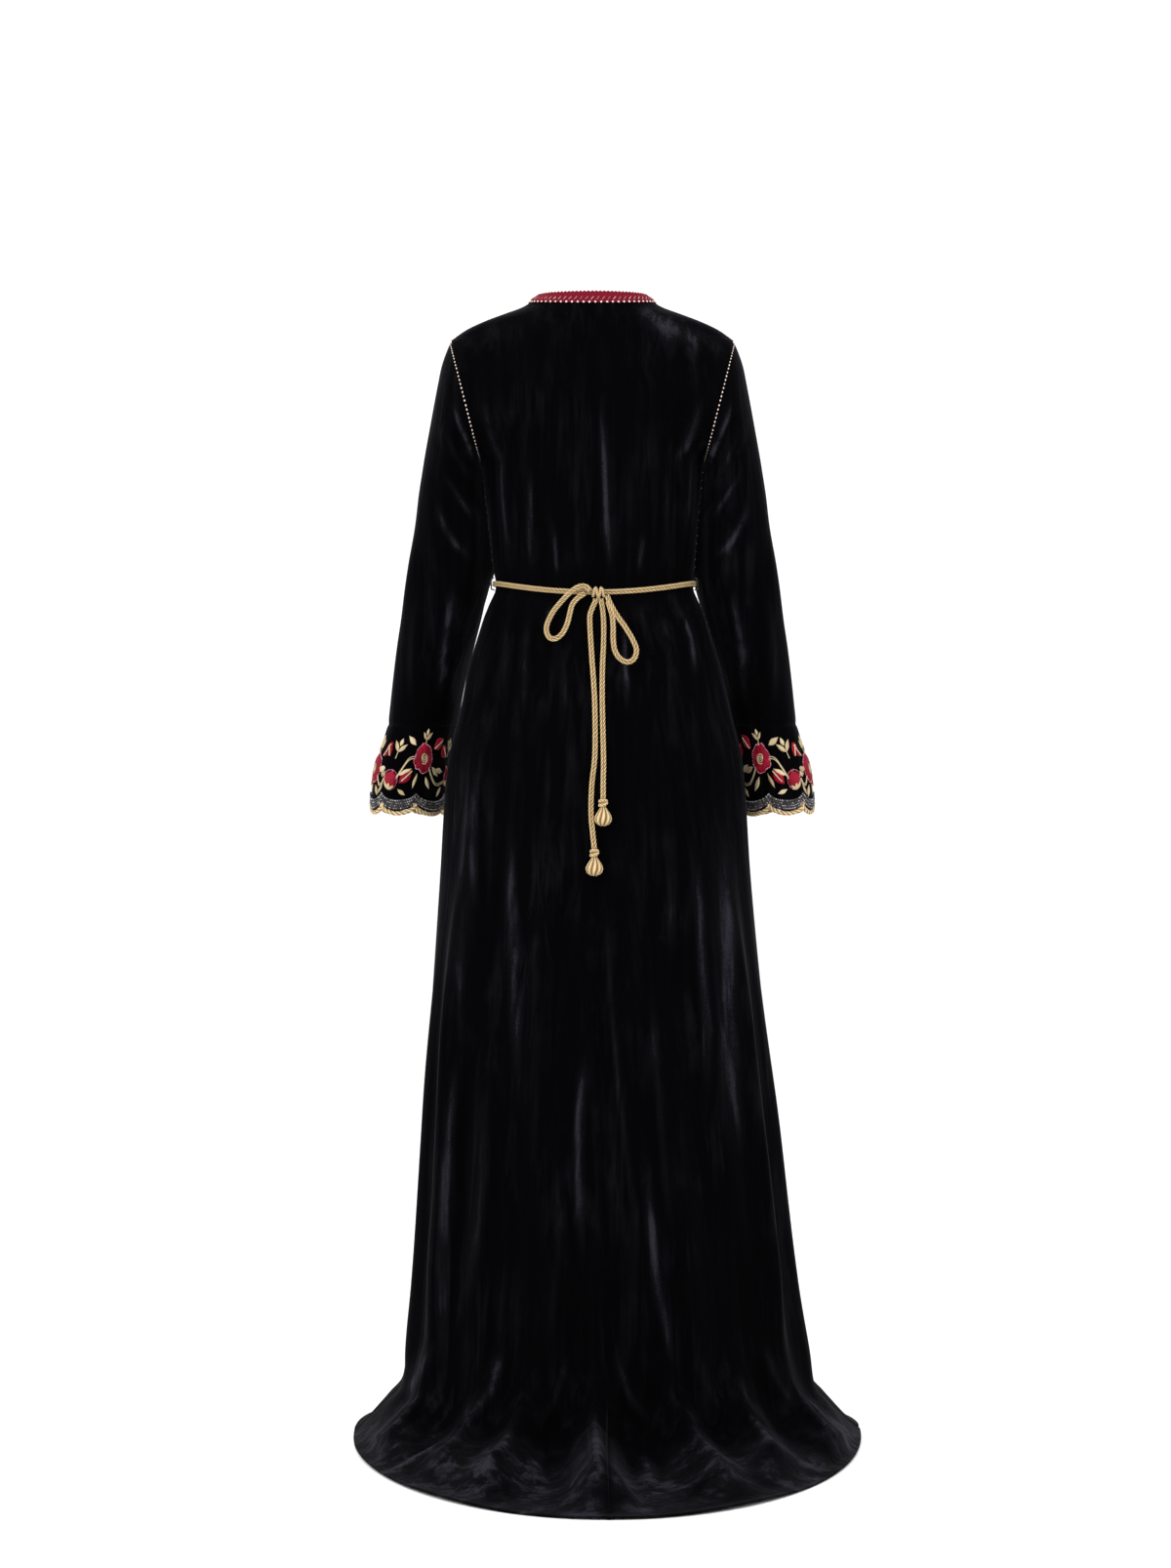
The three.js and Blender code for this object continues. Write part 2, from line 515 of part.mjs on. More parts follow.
// Direction out of the cloth at the seam, the same for sleeve and cuff
function cuffSeamNormal(side, phi) {
  const row = CUFF_RINGS[0];
  const half = (row.outerX - row.innerX) / 2;
  const [sine, cosine] = [Math.sin(phi * DEGREE), Math.cos(phi * DEGREE)];
  return new THREE.Vector3(side * cosine / half, sine / row.depth, 0).normalize();
}

function buildSleeve(name, side) {
  const outer = [];
  const inner = [];
  const last = sleeveRows.length - 1;
  const up = seamShift(side);
  for (let i = 0; i <= last; i += 1) {
    const outerRow = [];
    const innerRow = [];
    for (let j = 0; j < SLEEVE_COLUMNS; j += 1) {
      const phi = 360 * j / SLEEVE_COLUMNS;
      const point = tubePoint(sleeveRows, SLEEVE_FOLDS, side, i, phi);
      let normal = tubeNormal(sleeveRows, SLEEVE_FOLDS, side, i, phi);
      if (i === 0) {
        const folded = phi > 180 ? 360 - phi : phi;
        normal = armholeRadial(side, folded * DEGREE);
        if (phi > 180) normal.y *= -1;
        point.addScaledVector(armholeOutward(side), SEAM_GAP / 2);
      }
      if (i === last) {
        normal = cuffSeamNormal(side, phi);
        point.add(up);
      }
      outerRow.push(point);
      innerRow.push(point.clone().addScaledVector(normal, -WALL));
    }
    outer.push(outerRow);
    inner.push(innerRow);
  }
  addMesh(name, solidFromGrids(outer, inner, true), velvet());
}

// Angles of the cuff's columns, at equal steps of length round its lowest ring
function cuffAngles() {
  const row = CUFF_RINGS[CUFF_RINGS.length - 1];
  const half = (row.outerX - row.innerX) / 2;
  const fine = 1440;
  const lengths = [0];
  for (let k = 1; k <= fine; k += 1) {
    const phi = 2 * Math.PI * (k - 0.5) / fine;
    lengths.push(lengths[k - 1] + Math.hypot(half * Math.sin(phi), row.depth * Math.cos(phi)));
  }
  const count = SCALLOP.count * SCALLOP.columns;
  const angles = [];
  for (let j = 0; j < count; j += 1) {
    const goal = lengths[fine] * j / count;
    const k = lengths.findIndex((length) => length >= goal);
    angles.push(360 * k / fine);
  }
  return angles;
}

// How far the hem rises at a share of the way round: 0 at a lobe's tip and the full depth at a cusp
function scallopRise(round) {
  const phase = (round - SCALLOP.firstCusp) * SCALLOP.count;
  const fromTip = Math.abs(phase - Math.floor(phase) - 0.5) * 2;
  return SCALLOP.depth * (1 - Math.sqrt(1 - SCALLOP.roundness * fromTip ** 2));
}

// Raised flowers of a cuff at a place on it
function flowerRise(round, down, perimeter, tall) {
  let rise = 0;
  for (const flower of FLOWERS) {
    const turn = round - flower.round - Math.round(round - flower.round);
    const distance = Math.hypot(turn * perimeter, (down - flower.down) * tall);
    const s = 1 - THREE.MathUtils.smoothstep(distance, flower.radius * 0.6, flower.radius * 1.15);
    rise = Math.max(rise, flower.rise * s);
  }
  return rise;
}

const CUFF_ANGLES = cuffAngles();
const CUFF_DOWN = [0, 0.2, 0.38, 0.55, 0.75, 1];
const CUFF_PERIMETER = 440;
const CUFF_TALL = 100;

// One column pair of a cuff: down is 0 at the seam and 1 at the scalloped edge
function cuffPair(side, j, down, raise) {
  const phi = CUFF_ANGLES[j % CUFF_ANGLES.length];
  const round = (j % CUFF_ANGLES.length) / CUFF_ANGLES.length;
  const last = cuffRows.length - 1;
  const drop = tubePoint(cuffRows, [], side, 0, phi).z - tubePoint(cuffRows, [], side, last, phi).z;
  const goal = last * down * (1 + (SCALLOP.depth * SCALLOP.below - scallopRise(round)) / drop);
  const at = Math.min(goal, last);
  const point = tubePoint(cuffRows, [], side, at, phi);
  point.z -= (goal - at) * drop / last;
  const normal = down === 0 ? cuffSeamNormal(side, phi) : tubeNormal(cuffRows, [], side, at, phi);
  if (down === 0) point.sub(seamShift(side));
  const inner = point.clone().addScaledVector(normal, -WALL);
  if (raise) point.addScaledVector(normal, flowerRise(round, down, CUFF_PERIMETER, CUFF_TALL));
  return { outer: point, inner, normal };
}

function buildCuff(name, side) {
  const outer = [];
  const inner = [];
  for (const down of CUFF_DOWN) {
    const pairs = CUFF_ANGLES.map((phi, j) => cuffPair(side, j, down, down > 0 && down < 0.8));
    outer.push(pairs.map((pair) => pair.outer));
    inner.push(pairs.map((pair) => pair.inner));
  }
  addMesh(name, solidFromGrids(outer, inner, true), velvet());
}

// The beaded braid lies on the cuff just above its scalloped edge
function buildCuffBraid(name, side) {
  const stations = CUFF_ANGLES.map((phi, j) => {
    const top = 1 - (CUFF_BRAID.width + CUFF_BRAID.foot) / CUFF_TALL;
    const foot = 1 - CUFF_BRAID.foot / CUFF_TALL;
    const upper = cuffPair(side, j, top, false);
    const lower = cuffPair(side, j, foot, false);
    const lift = (pair, distance) => pair.outer.clone().addScaledVector(pair.normal, distance);
    const [under, over] = [LAID_GAP, LAID_GAP + CUFF_BRAID.thick];
    return [lift(upper, under), lift(upper, over), lift(lower, over), lift(lower, under)];
  });
  addMesh(name, solidFromLoop(stations), beaded());
}

// Direction in the cloth's surface, square to a stretch of the scalloped edge, away from the cuff
function belowEdge(from, to, normal) {
  const below = to.clone().sub(from).cross(normal).normalize();
  return below.z > 0 ? below.negate() : below;
}

// The gold cord lies along the scalloped edge, just below it
function buildCuffCord(name, side) {
  const pairs = CUFF_ANGLES.map((phi, j) => cuffPair(side, j, 1, false));
  const edge = pairs.map((pair) => pair.outer.clone().lerp(pair.inner, 0.5));
  const stations = edge.map((point, j) => {
    const before = edge[(j + edge.length - 1) % edge.length];
    const after = edge[(j + 1) % edge.length];
    const { normal } = pairs[j];
    const ahead = belowEdge(point, after, normal);
    const below = belowEdge(before, point, normal).add(ahead).normalize();
    const reach = (CUFF_CORD.radius + LAID_GAP) / Math.max(below.dot(ahead), CUFF_CORD.mitre);
    const centre = point.clone().addScaledVector(below, reach);
    const ring = [];
    for (let k = 0; k < CUFF_CORD.sides; k += 1) {
      const turn = 2 * Math.PI * k / CUFF_CORD.sides;
      ring.push(centre.clone().addScaledVector(normal, CUFF_CORD.radius * Math.cos(turn))
        .addScaledVector(below, CUFF_CORD.radius * Math.sin(turn)));
    }
    return ring;
  });
  addMesh(name, solidFromLoop(stations), gold());
}

// Braid round the neck, on the panels' first row, from one edge of the slit round the back to the other
function buildNeckBand() {
  const columns = [];
  for (const [isBack, count] of [[false, FRONT_COLUMNS], [true, BACK_COLUMNS]]) {
    for (let k = 0; k < count; k += 1) columns.push([isBack, isBack ? 1 - k / count : k / count]);
  }
  const left = columns.map(([isBack, u]) => [isBack, 1, u]);
  const right = columns.map(([isBack, u]) => [isBack, -1, u]).reverse();
  const grid = (distance) => [-1, 1 / YOKE_ROWS - 1].map((level) => (
    [...left, [true, 1, 0], ...right].map(([isBack, side, u]) => {
      const pair = panelPair(isBack, side, level, u);
      const atCentre = isBack && u < TINY;
      const point = atCentre ? pair.outer.setX(0) : pair.outer;
      if (u > 1 - TINY) point.setY(0);
      return point.addScaledVector(pair.normal, distance);
    })));
  addMesh('neck_band', solidFromGrids(grid(BAND.rest + BAND.thick), grid(BAND.rest), false), crimson());
}

// Braid on one edge of the slit, from under the neck band to the foot of the slit
function buildSlitBand(name, side) {
  const levels = panelLevels([UNDERARM - SLIT.foot]).slice(1);
  const columnAt = (level, i) => {
    const edge = panelPair(false, side, level, 0);
    const next = panelPair(false, side, level, 1 / FRONT_COLUMNS).outer;
    const across = next.sub(edge.outer);
    if (i === 0) edge.outer.z -= 2 * SEAM_GAP;
    return { edge, across: across.multiplyScalar(BAND.slitWidth / across.length()) };
  };
  const grid = (distance) => levels.map((level, i) => {
    const { edge, across } = columnAt(level, i);
    const point = edge.outer.addScaledVector(edge.normal, distance);
    return [point, point.clone().add(across)];
  });
  addMesh(name, solidFromGrids(grid(BAND.rest + BAND.thick), grid(BAND.rest), false), crimson());
}

// Height of the belt's middle at an angle round the waist
function beltHeight(angle) {
  const cosine = Math.cos(angle * DEGREE);
  const dip = cosine > 0 ? BELT.backDip : BELT.frontDip;
  return BELT.height - dip * cosine * cosine;
}

function buildBelt() {
  const angles = [];
  for (let k = 0; k < 2 * BACK_COLUMNS; k += 1) angles.push(-90 + 90 * k / BACK_COLUMNS);
  for (let k = 0; k < 2 * FRONT_COLUMNS; k += 1) angles.push(90 + 90 * k / FRONT_COLUMNS);
  const section = [[0, 0.34], [0.5, 0.5], [1, 0.3], [1, -0.3], [0.5, -0.5], [0, -0.34]];
  const stations = angles.map((angle) => {
    const level = UNDERARM - beltHeight(angle);
    const point = surface(level, angle, true);
    const normal = surfaceNormal(level, angle, true).setZ(0).normalize();
    return section.map(([out, up]) => point.clone()
      .addScaledVector(normal, BELT.rest + out * BELT.thick)
      .add(new THREE.Vector3(0, 0, up * BELT.tall)));
  });
  addMesh('belt', solidFromLoop(stations), gold());
}

// How far behind the side seams the cloth stands at a place on the back
function backDepth(x, height) {
  const level = UNDERARM - height;
  let angle = Math.asin(THREE.MathUtils.clamp((x + 4) / 150, -0.9, 0.9)) / DEGREE;
  for (let pass = 0; pass < 12; pass += 1) {
    const point = surface(level, angle, true);
    angle += (x - point.x) / 2.6;
  }
  return surface(level, angle, true).y;
}

// The largest depth of the cloth round a place, so that a hanging piece clears the folds
function clearDepth(x, height, reach, drop) {
  let depth = 0;
  for (const dx of [-reach, -reach / 2, 0, reach / 2, reach]) {
    for (const dz of [6, 0, -6, -drop]) depth = Math.max(depth, backDepth(x + dx, height + dz));
  }
  return depth;
}

// Places a bow loop's route on the back of the skirt, bowed away from it
function loopRoute(route) {
  return route.map(([x, height], i) => {
    const lift = LOOP_LIFT.ends + LOOP_LIFT.middle * Math.sin(Math.PI * i / (route.length - 1));
    const depth = clearDepth(x, height, CORD.wide / 2, 0) + CORD.rest + CORD.thick / 2 + lift;
    return new THREE.Vector3(x, depth, height);
  });
}

// Places a tail's route on the back of the skirt, from under the knot; its end stands off by the tassel's
// half width
function tailRoute(route, knotDepth) {
  return route.map(([x, height], i) => {
    const lead = 1 - THREE.MathUtils.smoothstep(i, 1, 4);
    const end = THREE.MathUtils.smoothstep(i / (route.length - 1), 0.7, 1);
    const reach = THREE.MathUtils.lerp(CORD.wide, TASSEL.bulbWide, end) / 2;
    const stand = THREE.MathUtils.lerp(CORD.thick, TASSEL.bulbWide, end) / 2;
    const drop = end * (TASSEL.bulbTall + TASSEL.knotTall);
    const depth = clearDepth(x, height, reach, drop) + CORD.rest + stand;
    return new THREE.Vector3(x, THREE.MathUtils.lerp(depth, knotDepth, lead), height);
  });
}

// A flat pair of cords swept along a route, its flat side on the cloth
function buildCord(name, points, steps) {
  const curve = new THREE.CatmullRomCurve3(points, false, 'centripetal');
  const stations = [];
  for (let i = 0; i <= steps; i += 1) {
    const centre = curve.getPointAt(i / steps);
    const along = curve.getTangentAt(i / steps);
    const out = new THREE.Vector3(0, 1, 0);
    out.addScaledVector(along, -out.dot(along)).normalize();
    const wide = along.clone().cross(out);
    const ring = [];
    for (let k = 0; k < CORD.sides; k += 1) {
      const turn = 2 * Math.PI * (k + 0.5) / CORD.sides;
      ring.push(centre.clone().addScaledVector(wide, CORD.wide / 2 * Math.cos(turn))
        .addScaledVector(out, CORD.thick / 2 * Math.sin(turn)));
    }
    stations.push(ring);
  }
  addMesh(name, cappedSweep(stations), gold());
}

// A closed solid through a row of section rings, with a flat cap at each end
function cappedSweep(stations) {
  const sides = stations[0].length;
  const positions = stations.flatMap((ring) => ring.flatMap((point) => [point.x, point.y, point.z]));
  const index = [];
  for (let i = 0; i < stations.length - 1; i += 1) {
    for (let j = 0; j < sides; j += 1) {
      const k = (j + 1) % sides;
      const corners = [i * sides + j, (i + 1) * sides + j, (i + 1) * sides + k, i * sides + k];
      index.push(...splitQuad(positions, ...corners));
    }
  }
  const end = (stations.length - 1) * sides;
  for (let j = 1; j < sides - 1; j += 1) {
    index.push(0, j, j + 1);
    index.push(end, end + j + 1, end + j);
  }
  return orientedGeometry(positions, index);
}

// A round solid about a vertical axis from half widths and heights, its profile closed on the axis
function turned(profile, sides) {
  const points = profile.map(([radius, height]) => new THREE.Vector2(radius, height));
  const geometry = new THREE.LatheGeometry(points, sides);
  geometry.rotateX(Math.PI / 2);
  return geometry;
}

// Knot and bulb of a tassel, hung under its tail's end
function buildTassel(name, end) {
  const { knotWide, knotTall, bulbWide, bulbTall } = TASSEL;
  const top = -3 * SEAM_GAP; // the tail's end is a little tilted
  const neck = top - knotTall;
  const profile = [
    [0, neck - bulbTall], [bulbWide * 0.26, neck - bulbTall * 0.97],
    [bulbWide * 0.46, neck - bulbTall * 0.76], [bulbWide * 0.5, neck - bulbTall * 0.56],
    [bulbWide * 0.36, neck - bulbTall * 0.26], [3.2, neck], [knotWide * 0.5, neck + knotTall * 0.3],
    [knotWide * 0.46, neck + knotTall * 0.76], [3.6, top], [0, top],
  ];
  const geometry = turned(profile, TASSEL.sides);
  geometry.translate(end.x, end.y, end.z);
  addMesh(name, geometry, gold());
}

function buildKnot(depth) {
  const { wide, tall, deep, x, height } = KNOT;
  const profile = [
    [0, -0.5], [0.3, -0.46], [0.5, -0.2], [0.5, 0.2], [0.3, 0.46], [0, 0.5],
  ];
  const geometry = turned(profile, KNOT.sides);
  geometry.scale(wide, deep, tall);
  geometry.translate(x, depth, height);
  addMesh('belt_knot', geometry, gold());
}

// A thread loop at the side seam, which passes outside the belt
function buildCarrier(name, side) {
  const height = beltHeight(90);
  const at = (dz, out) => {
    const point = surface(UNDERARM - height - dz, side * 90, true);
    return new THREE.Vector3(point.x + side * out, 0, height + dz);
  };
  const half = CARRIER.tall / 2;
  const points = [
    at(half, CARRIER.rest), at(half * 0.82, CARRIER.reach * 0.75), at(half * 0.4, CARRIER.reach),
    at(0, CARRIER.reach),
    at(-half * 0.4, CARRIER.reach), at(-half * 0.82, CARRIER.reach * 0.95), at(-half, CARRIER.rest),
  ];
  const curve = new THREE.CatmullRomCurve3(points, false, 'centripetal');
  const section = new THREE.Shape();
  section.absarc(0, 0, CARRIER.thick / 2, 0, 2 * Math.PI, false);
  const options = { steps: 12, extrudePath: curve, curveSegments: CARRIER.sides };
  const geometry = new THREE.ExtrudeGeometry(section, options);
  addMesh(name, geometry, thread());
}

const NAMES = new Map([[1, 'left'], [-1, 'right']]);
for (const [side, word] of NAMES) {
  buildPanel(`back_${word}`, true, side);
  buildPanel(`front_${word}`, false, side);
  buildSleeve(`sleeve_${word}`, side);
  buildCuff(`cuff_${word}`, side);
  buildCuffBraid(`cuff_braid_${word}`, side);
  buildCuffCord(`cuff_cord_${word}`, side);
  buildSlitBand(`slit_band_${word}`, side);
  buildCarrier(`belt_carrier_${word}`, side);
}
buildNeckBand();
buildBelt();

const beltDepth = backDepth(KNOT.x, beltHeight(0)) + BELT.rest + BELT.thick;
const knotDepth = beltDepth + LAID_GAP + KNOT.deep / 2;
buildKnot(knotDepth);
buildCord('bow_loop_left', loopRoute(LOOP_LEFT), 22);
buildCord('bow_loop_right', loopRoute(LOOP_RIGHT), 22);
const tailLeft = tailRoute(TAIL_LEFT, knotDepth);
const tailRight = tailRoute(TAIL_RIGHT, knotDepth);
buildCord('belt_tail_left', tailLeft, 18);
buildCord('belt_tail_right', tailRight, 14);
buildTassel('tassel_left', tailLeft[tailLeft.length - 1]);
buildTassel('tassel_right', tailRight[tailRight.length - 1]);

export default kaftan;
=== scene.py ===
import logging
import math
from dataclasses import dataclass, field
from enum import Enum
from typing import Iterable

import bpy
import numpy as np
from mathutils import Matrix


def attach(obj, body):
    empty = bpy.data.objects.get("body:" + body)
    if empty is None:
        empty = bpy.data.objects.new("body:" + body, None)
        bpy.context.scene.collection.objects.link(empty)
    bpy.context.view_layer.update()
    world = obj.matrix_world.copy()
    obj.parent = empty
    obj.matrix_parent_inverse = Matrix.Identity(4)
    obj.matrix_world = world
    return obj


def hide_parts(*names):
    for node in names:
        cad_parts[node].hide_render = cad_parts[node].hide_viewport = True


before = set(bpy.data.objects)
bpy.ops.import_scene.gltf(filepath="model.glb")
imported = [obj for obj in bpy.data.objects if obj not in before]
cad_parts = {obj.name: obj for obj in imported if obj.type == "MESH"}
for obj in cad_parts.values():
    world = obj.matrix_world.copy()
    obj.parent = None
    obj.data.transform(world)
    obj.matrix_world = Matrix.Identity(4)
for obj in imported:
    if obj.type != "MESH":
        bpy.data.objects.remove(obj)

# A floor-length velvet kaftan in its worn form: panels, bell sleeves, scalloped embroidered cuffs, neck
# braid, cord belt with a bow, and a short train. Sizes are millimetres and heights stand above the floor,
# until to_frame turns them into the frame's metres. Seen from behind, +x is the wearer's left.
log = logging.getLogger("kaftan")

Array = np.ndarray
Grid = tuple[Array, Array, Array, Array | float]
Node, Tree = bpy.types.Node, bpy.types.NodeTree
MM = 0.001
HOLD_HEIGHT = 1530.0
UNDERARM = 1350.0
SEAM_GAP = 0.3
WALL = 1.6
LEFT, RIGHT = 1, -1
SIDE_WORDS = {LEFT: "left", RIGHT: "right"}


class View(Enum):
    """Which way a flat route of points is laid onto the cloth."""

    UPRIGHT = (0, 2)
    FLOOR = (0, 1)


class Motif(Enum):
    """The kinds of small embroidered figures on a cuff."""

    SILK_LEAF = "silk leaf"
    GOLD_LEAF = "gold leaf"
    TULIP = "tulip"


# ---- numbers and tables


def to_frame(points: Array) -> Array:
    """Turn millimetres above the floor into the frame's metres about the shoulders' mount."""
    return (np.asarray(points, float) - (0.0, 0.0, HOLD_HEIGHT)) * MM


def smoothstep(value: Array, low: float, high: float) -> Array:
    """Return 0 below low, 1 above high and a smooth rise between them."""
    share = np.clip((np.asarray(value, float) - low) / (high - low), 0.0, 1.0)
    return share * share * (3.0 - 2.0 * share)


def bell(offset: Array, spread: float) -> Array:
    """Return a bump that is 1 at its middle and falls away within about twice its spread."""
    return np.exp(-0.5 * (np.asarray(offset, float) / spread) ** 2)


def unit(vectors: Array) -> Array:
    """Return the vectors at length 1."""
    length = np.linalg.norm(vectors, axis=-1, keepdims=True)
    return vectors / np.maximum(length, 1e-9)


def run_length(line: Array) -> Array:
    """Return the distance along a line at each of its points."""
    return np.cumsum(np.linalg.norm(np.diff(line, axis=0, prepend=line[:1]), axis=1))


def girth(line: Array) -> float:
    """Return the length of a closed line."""
    return float(np.sum(np.linalg.norm(np.roll(line, -1, axis=0) - line, axis=1)))


def resample(goal: Array, at: Array, values: Array) -> Array:
    """Return rows of values, known at some places, at other places."""
    return np.stack([np.interp(goal, at, column) for column in values.T], axis=1)


def tangents(line: Array, closed: bool) -> Array:
    """Return the direction along a line at each of its points."""
    return unit(np.roll(line, -1, axis=0) - np.roll(line, 1, axis=0) if closed else np.gradient(line, axis=0))


def square_to(out: Array, tangent: Array) -> Array:
    """Return directions turned square to a line's own directions."""
    return unit(out - tangent * np.sum(out * tangent, axis=1, keepdims=True))


def ring_round(centre: Array, radius: Array, angle: Array, height: Array) -> Array:
    """Return points at angles in radians round an upright line."""
    x, y = centre[0] + radius * np.cos(angle), centre[1] + radius * np.sin(angle)
    return np.stack(np.broadcast_arrays(x, y, height), axis=-1)


def heading(turn: float) -> tuple[float, float]:
    """Return the cosine and sine of a turn in degrees."""
    return math.cos(math.radians(turn)), math.sin(math.radians(turn))


def smooth_route(points: Iterable[Iterable[float]], count: int, closed: bool = False) -> Array:
    """Run a smooth curve through given points and space it evenly.

    Args:
        points: The points in order, each with the same number of coordinates.
        count: How many points come back.
        closed: Whether the last point joins the first.

    Returns:
        Evenly spaced points along the curve.
    """
    knots = np.asarray(list(points), float)
    if closed:
        knots = np.vstack([knots[-1:], knots, knots[:2]])
    else:
        knots = np.vstack([2 * knots[0] - knots[1], knots, 2 * knots[-1] - knots[-2]])
    share = np.linspace(0, 1, 25)[:-1, None]
    runs = []
    for a, b, c, d in zip(knots[:-3], knots[1:-2], knots[2:-1], knots[3:]):
        runs.append(
            0.5 * (2 * b + (c - a) * share + (2 * a - 5 * b + 4 * c - d) * share**2
                   + (3 * b - a - 3 * c + d) * share**3)
        )
    fine = np.vstack([*runs, knots[-2][None]])
    length = run_length(fine)
    goal = np.linspace(0, length[-1], count + 1)[:-1] if closed else np.linspace(0, length[-1], count)
    return resample(goal, length, fine)


@dataclass(frozen=True)
class Table:
    """Rows of named columns, read smoothly at any place along the first column."""

    names: tuple[str, ...]
    rows: tuple[tuple[float, ...], ...]

    def read(self, where: Array, name: str) -> Array:
        """Read one column.

        Args:
            where: Places along the first column.
            name: The column that is read.

        Returns:
            The column's smooth value at each place.
        """
        grid = np.array(self.rows, float)
        key, value = grid[:, 0], grid[:, self.names.index(name)]
        where = np.asarray(where, float)
        i = np.clip(np.searchsorted(key[1:], where, side="left"), 0, len(key) - 2)
        before, after = np.maximum(i - 1, 0), np.minimum(i + 2, len(key) - 1)
        span = key[i + 1] - key[i]
        slope_a = (value[i + 1] - value[before]) / (key[i + 1] - key[before])
        slope_b = (value[after] - value[i]) / (key[after] - key[i])
        s = np.clip((where - key[i]) / span, 0.0, 1.0)
        s2, s3 = s * s, s * s * s
        return (
            value[i] * (2 * s3 - 3 * s2 + 1) + value[i + 1] * (3 * s2 - 2 * s3)
            + slope_a * span * (s3 - 2 * s2 + s) + slope_b * span * (s3 - s2)
        )


@dataclass(frozen=True)
class Fold:
    """A long fold: its angle at top and foot, where it starts and ends, its height and half width."""

    angle: float
    foot_angle: float
    start: float
    end: float
    rise: float
    spread: float

    def height(self, at: Array, angle: Array) -> Array:
        """Return how far the fold lifts the cloth at places along and angles round it."""
        share = (at - self.start) / (self.end - self.start)
        strength = smoothstep(share, 0, 0.4) * (1 - smoothstep(share, 0.72, 1))
        strength = np.where((share <= 0) | (share >= 1), 0, strength)
        middle = self.angle + (self.foot_angle - self.angle) * share
        offset = angle - middle
        offset = offset - 360 * np.round(offset / 360)
        return self.rise * strength * bell(offset, self.spread)


@dataclass(frozen=True)
class Crease:
    """A crease: its route as seen square on, its height and its half width."""

    route: tuple[tuple[float, float], ...]
    rise: float
    spread: float
    view: View = View.UPRIGHT

    def lay(self, points: Array) -> tuple[Array, Array]:
        """Work out what the crease does to the cloth at each point.

        Args:
            points: Points of the cloth.

        Returns:
            The lift of each point, with a shallow valley beside the ridge, and how much painted sheen the pile's
            colour carries there, along the ridge.
        """
        flat = points[..., list(self.view.value)]
        line = smooth_route(self.route, 4 * len(self.route) + 3)
        length = run_length(line)
        nearest = np.full(flat.shape[:-1], 1e9)
        along = np.zeros(flat.shape[:-1])
        for k, (a, b) in enumerate(zip(line[:-1], line[1:])):
            reach = b - a
            share = np.clip(((flat - a) @ reach) / (reach @ reach), 0, 1)
            away = np.linalg.norm(flat - a - share[..., None] * reach, axis=-1)
            closer = away < nearest
            nearest = np.where(closer, away, nearest)
            along = np.where(closer, length[k] + share * (length[k + 1] - length[k]), along)
        share = along / length[-1]
        strength = smoothstep(share, 0, 0.35) * (1 - smoothstep(share, 0.65, 1))
        valley = 0.4 * bell(nearest - 2.3 * self.spread, self.spread * 0.8)
        lift = self.rise * strength * (bell(nearest, self.spread) - valley)
        # The second value is painted sheen along the crease's ridge, put into the velvet's colour.
        return lift, strength * bell(nearest, self.spread * 0.42)


def creases_from(rows: Iterable[tuple[float, ...]], view: View = View.UPRIGHT) -> tuple[Crease, ...]:
    """Return creases from rows of rise, half width, and the route's points one after another."""
    return tuple(Crease(tuple(zip(row[2::2], row[3::2])), row[0], row[1], view) for row in rows)


def ridge_creases(rise: float, spread: float) -> list[Crease]:
    """Return a crisp crease along the crest of each fold of the train."""
    creases = []
    for fold in SKIRT_FOLDS:
        if fold.start > 1100 and abs(fold.angle) < 90:
            share = np.linspace(0.24, 0.9, 6)
            down = fold.start + (fold.end - fold.start) * share
            crest = body_ring(down, fold.angle + (fold.foot_angle - fold.angle) * share)
            creases.append(Crease(tuple(map(tuple, crest[:, :2])), rise, spread, View.FLOOR))
    return creases


def lay_creases(creases: Iterable[Crease], points: Array) -> tuple[Array, Array]:
    """Return the lift and the painted sheen that all the creases give at each point."""
    lift, bloom = np.zeros(points.shape[:-1]), np.zeros(points.shape[:-1])
    for number, crease in enumerate(creases):
        more_lift, more_bloom = crease.lay(points)
        lift = lift + more_lift
        bloom = np.maximum(bloom, more_bloom * (0.48 + 0.36 * math.cos(2.4 * number)))
    return lift, bloom


# ---- the cloth's form

SHOULDER_HALF, SHOULDER_HEIGHT = 197.0, 1517.0
ARMHOLE_HALF_DEPTH = 78.0
SHOULDER_ROWS = (75.0, 88.0, 114.0, 146.0, 174.0, 197.0)
ARMHOLE_ROWS = 8
YOKE_ROWS = len(SHOULDER_ROWS) - 1 + ARMHOLE_ROWS
SLIT_TOP, SLIT_FOOT, SLIT_HALF_WIDTH, SLIT_FADE = 1500.0, 1285.0, 9.0, 55.0
SHOULDER_LINE = Table(
    ("out", "height"),
    ((75, 1580), (96, 1565), (123, 1554), (152, 1543), (176, 1532), (192, 1521), (197, 1517)),
)
BACK_MIDDLE = Table(
    ("row", "height", "depth"),
    ((0, 1578, 62), (1, 1562, 64), (5, 1528, 74), (9, 1444, 92), (13, 1350, 100)),
)
FRONT_MIDDLE = Table(
    ("row", "height", "depth"),
    ((0, 1500, 78), (1, 1484.5, 82), (5, 1456, 92), (9, 1409, 109), (13, 1350, 118)),
)
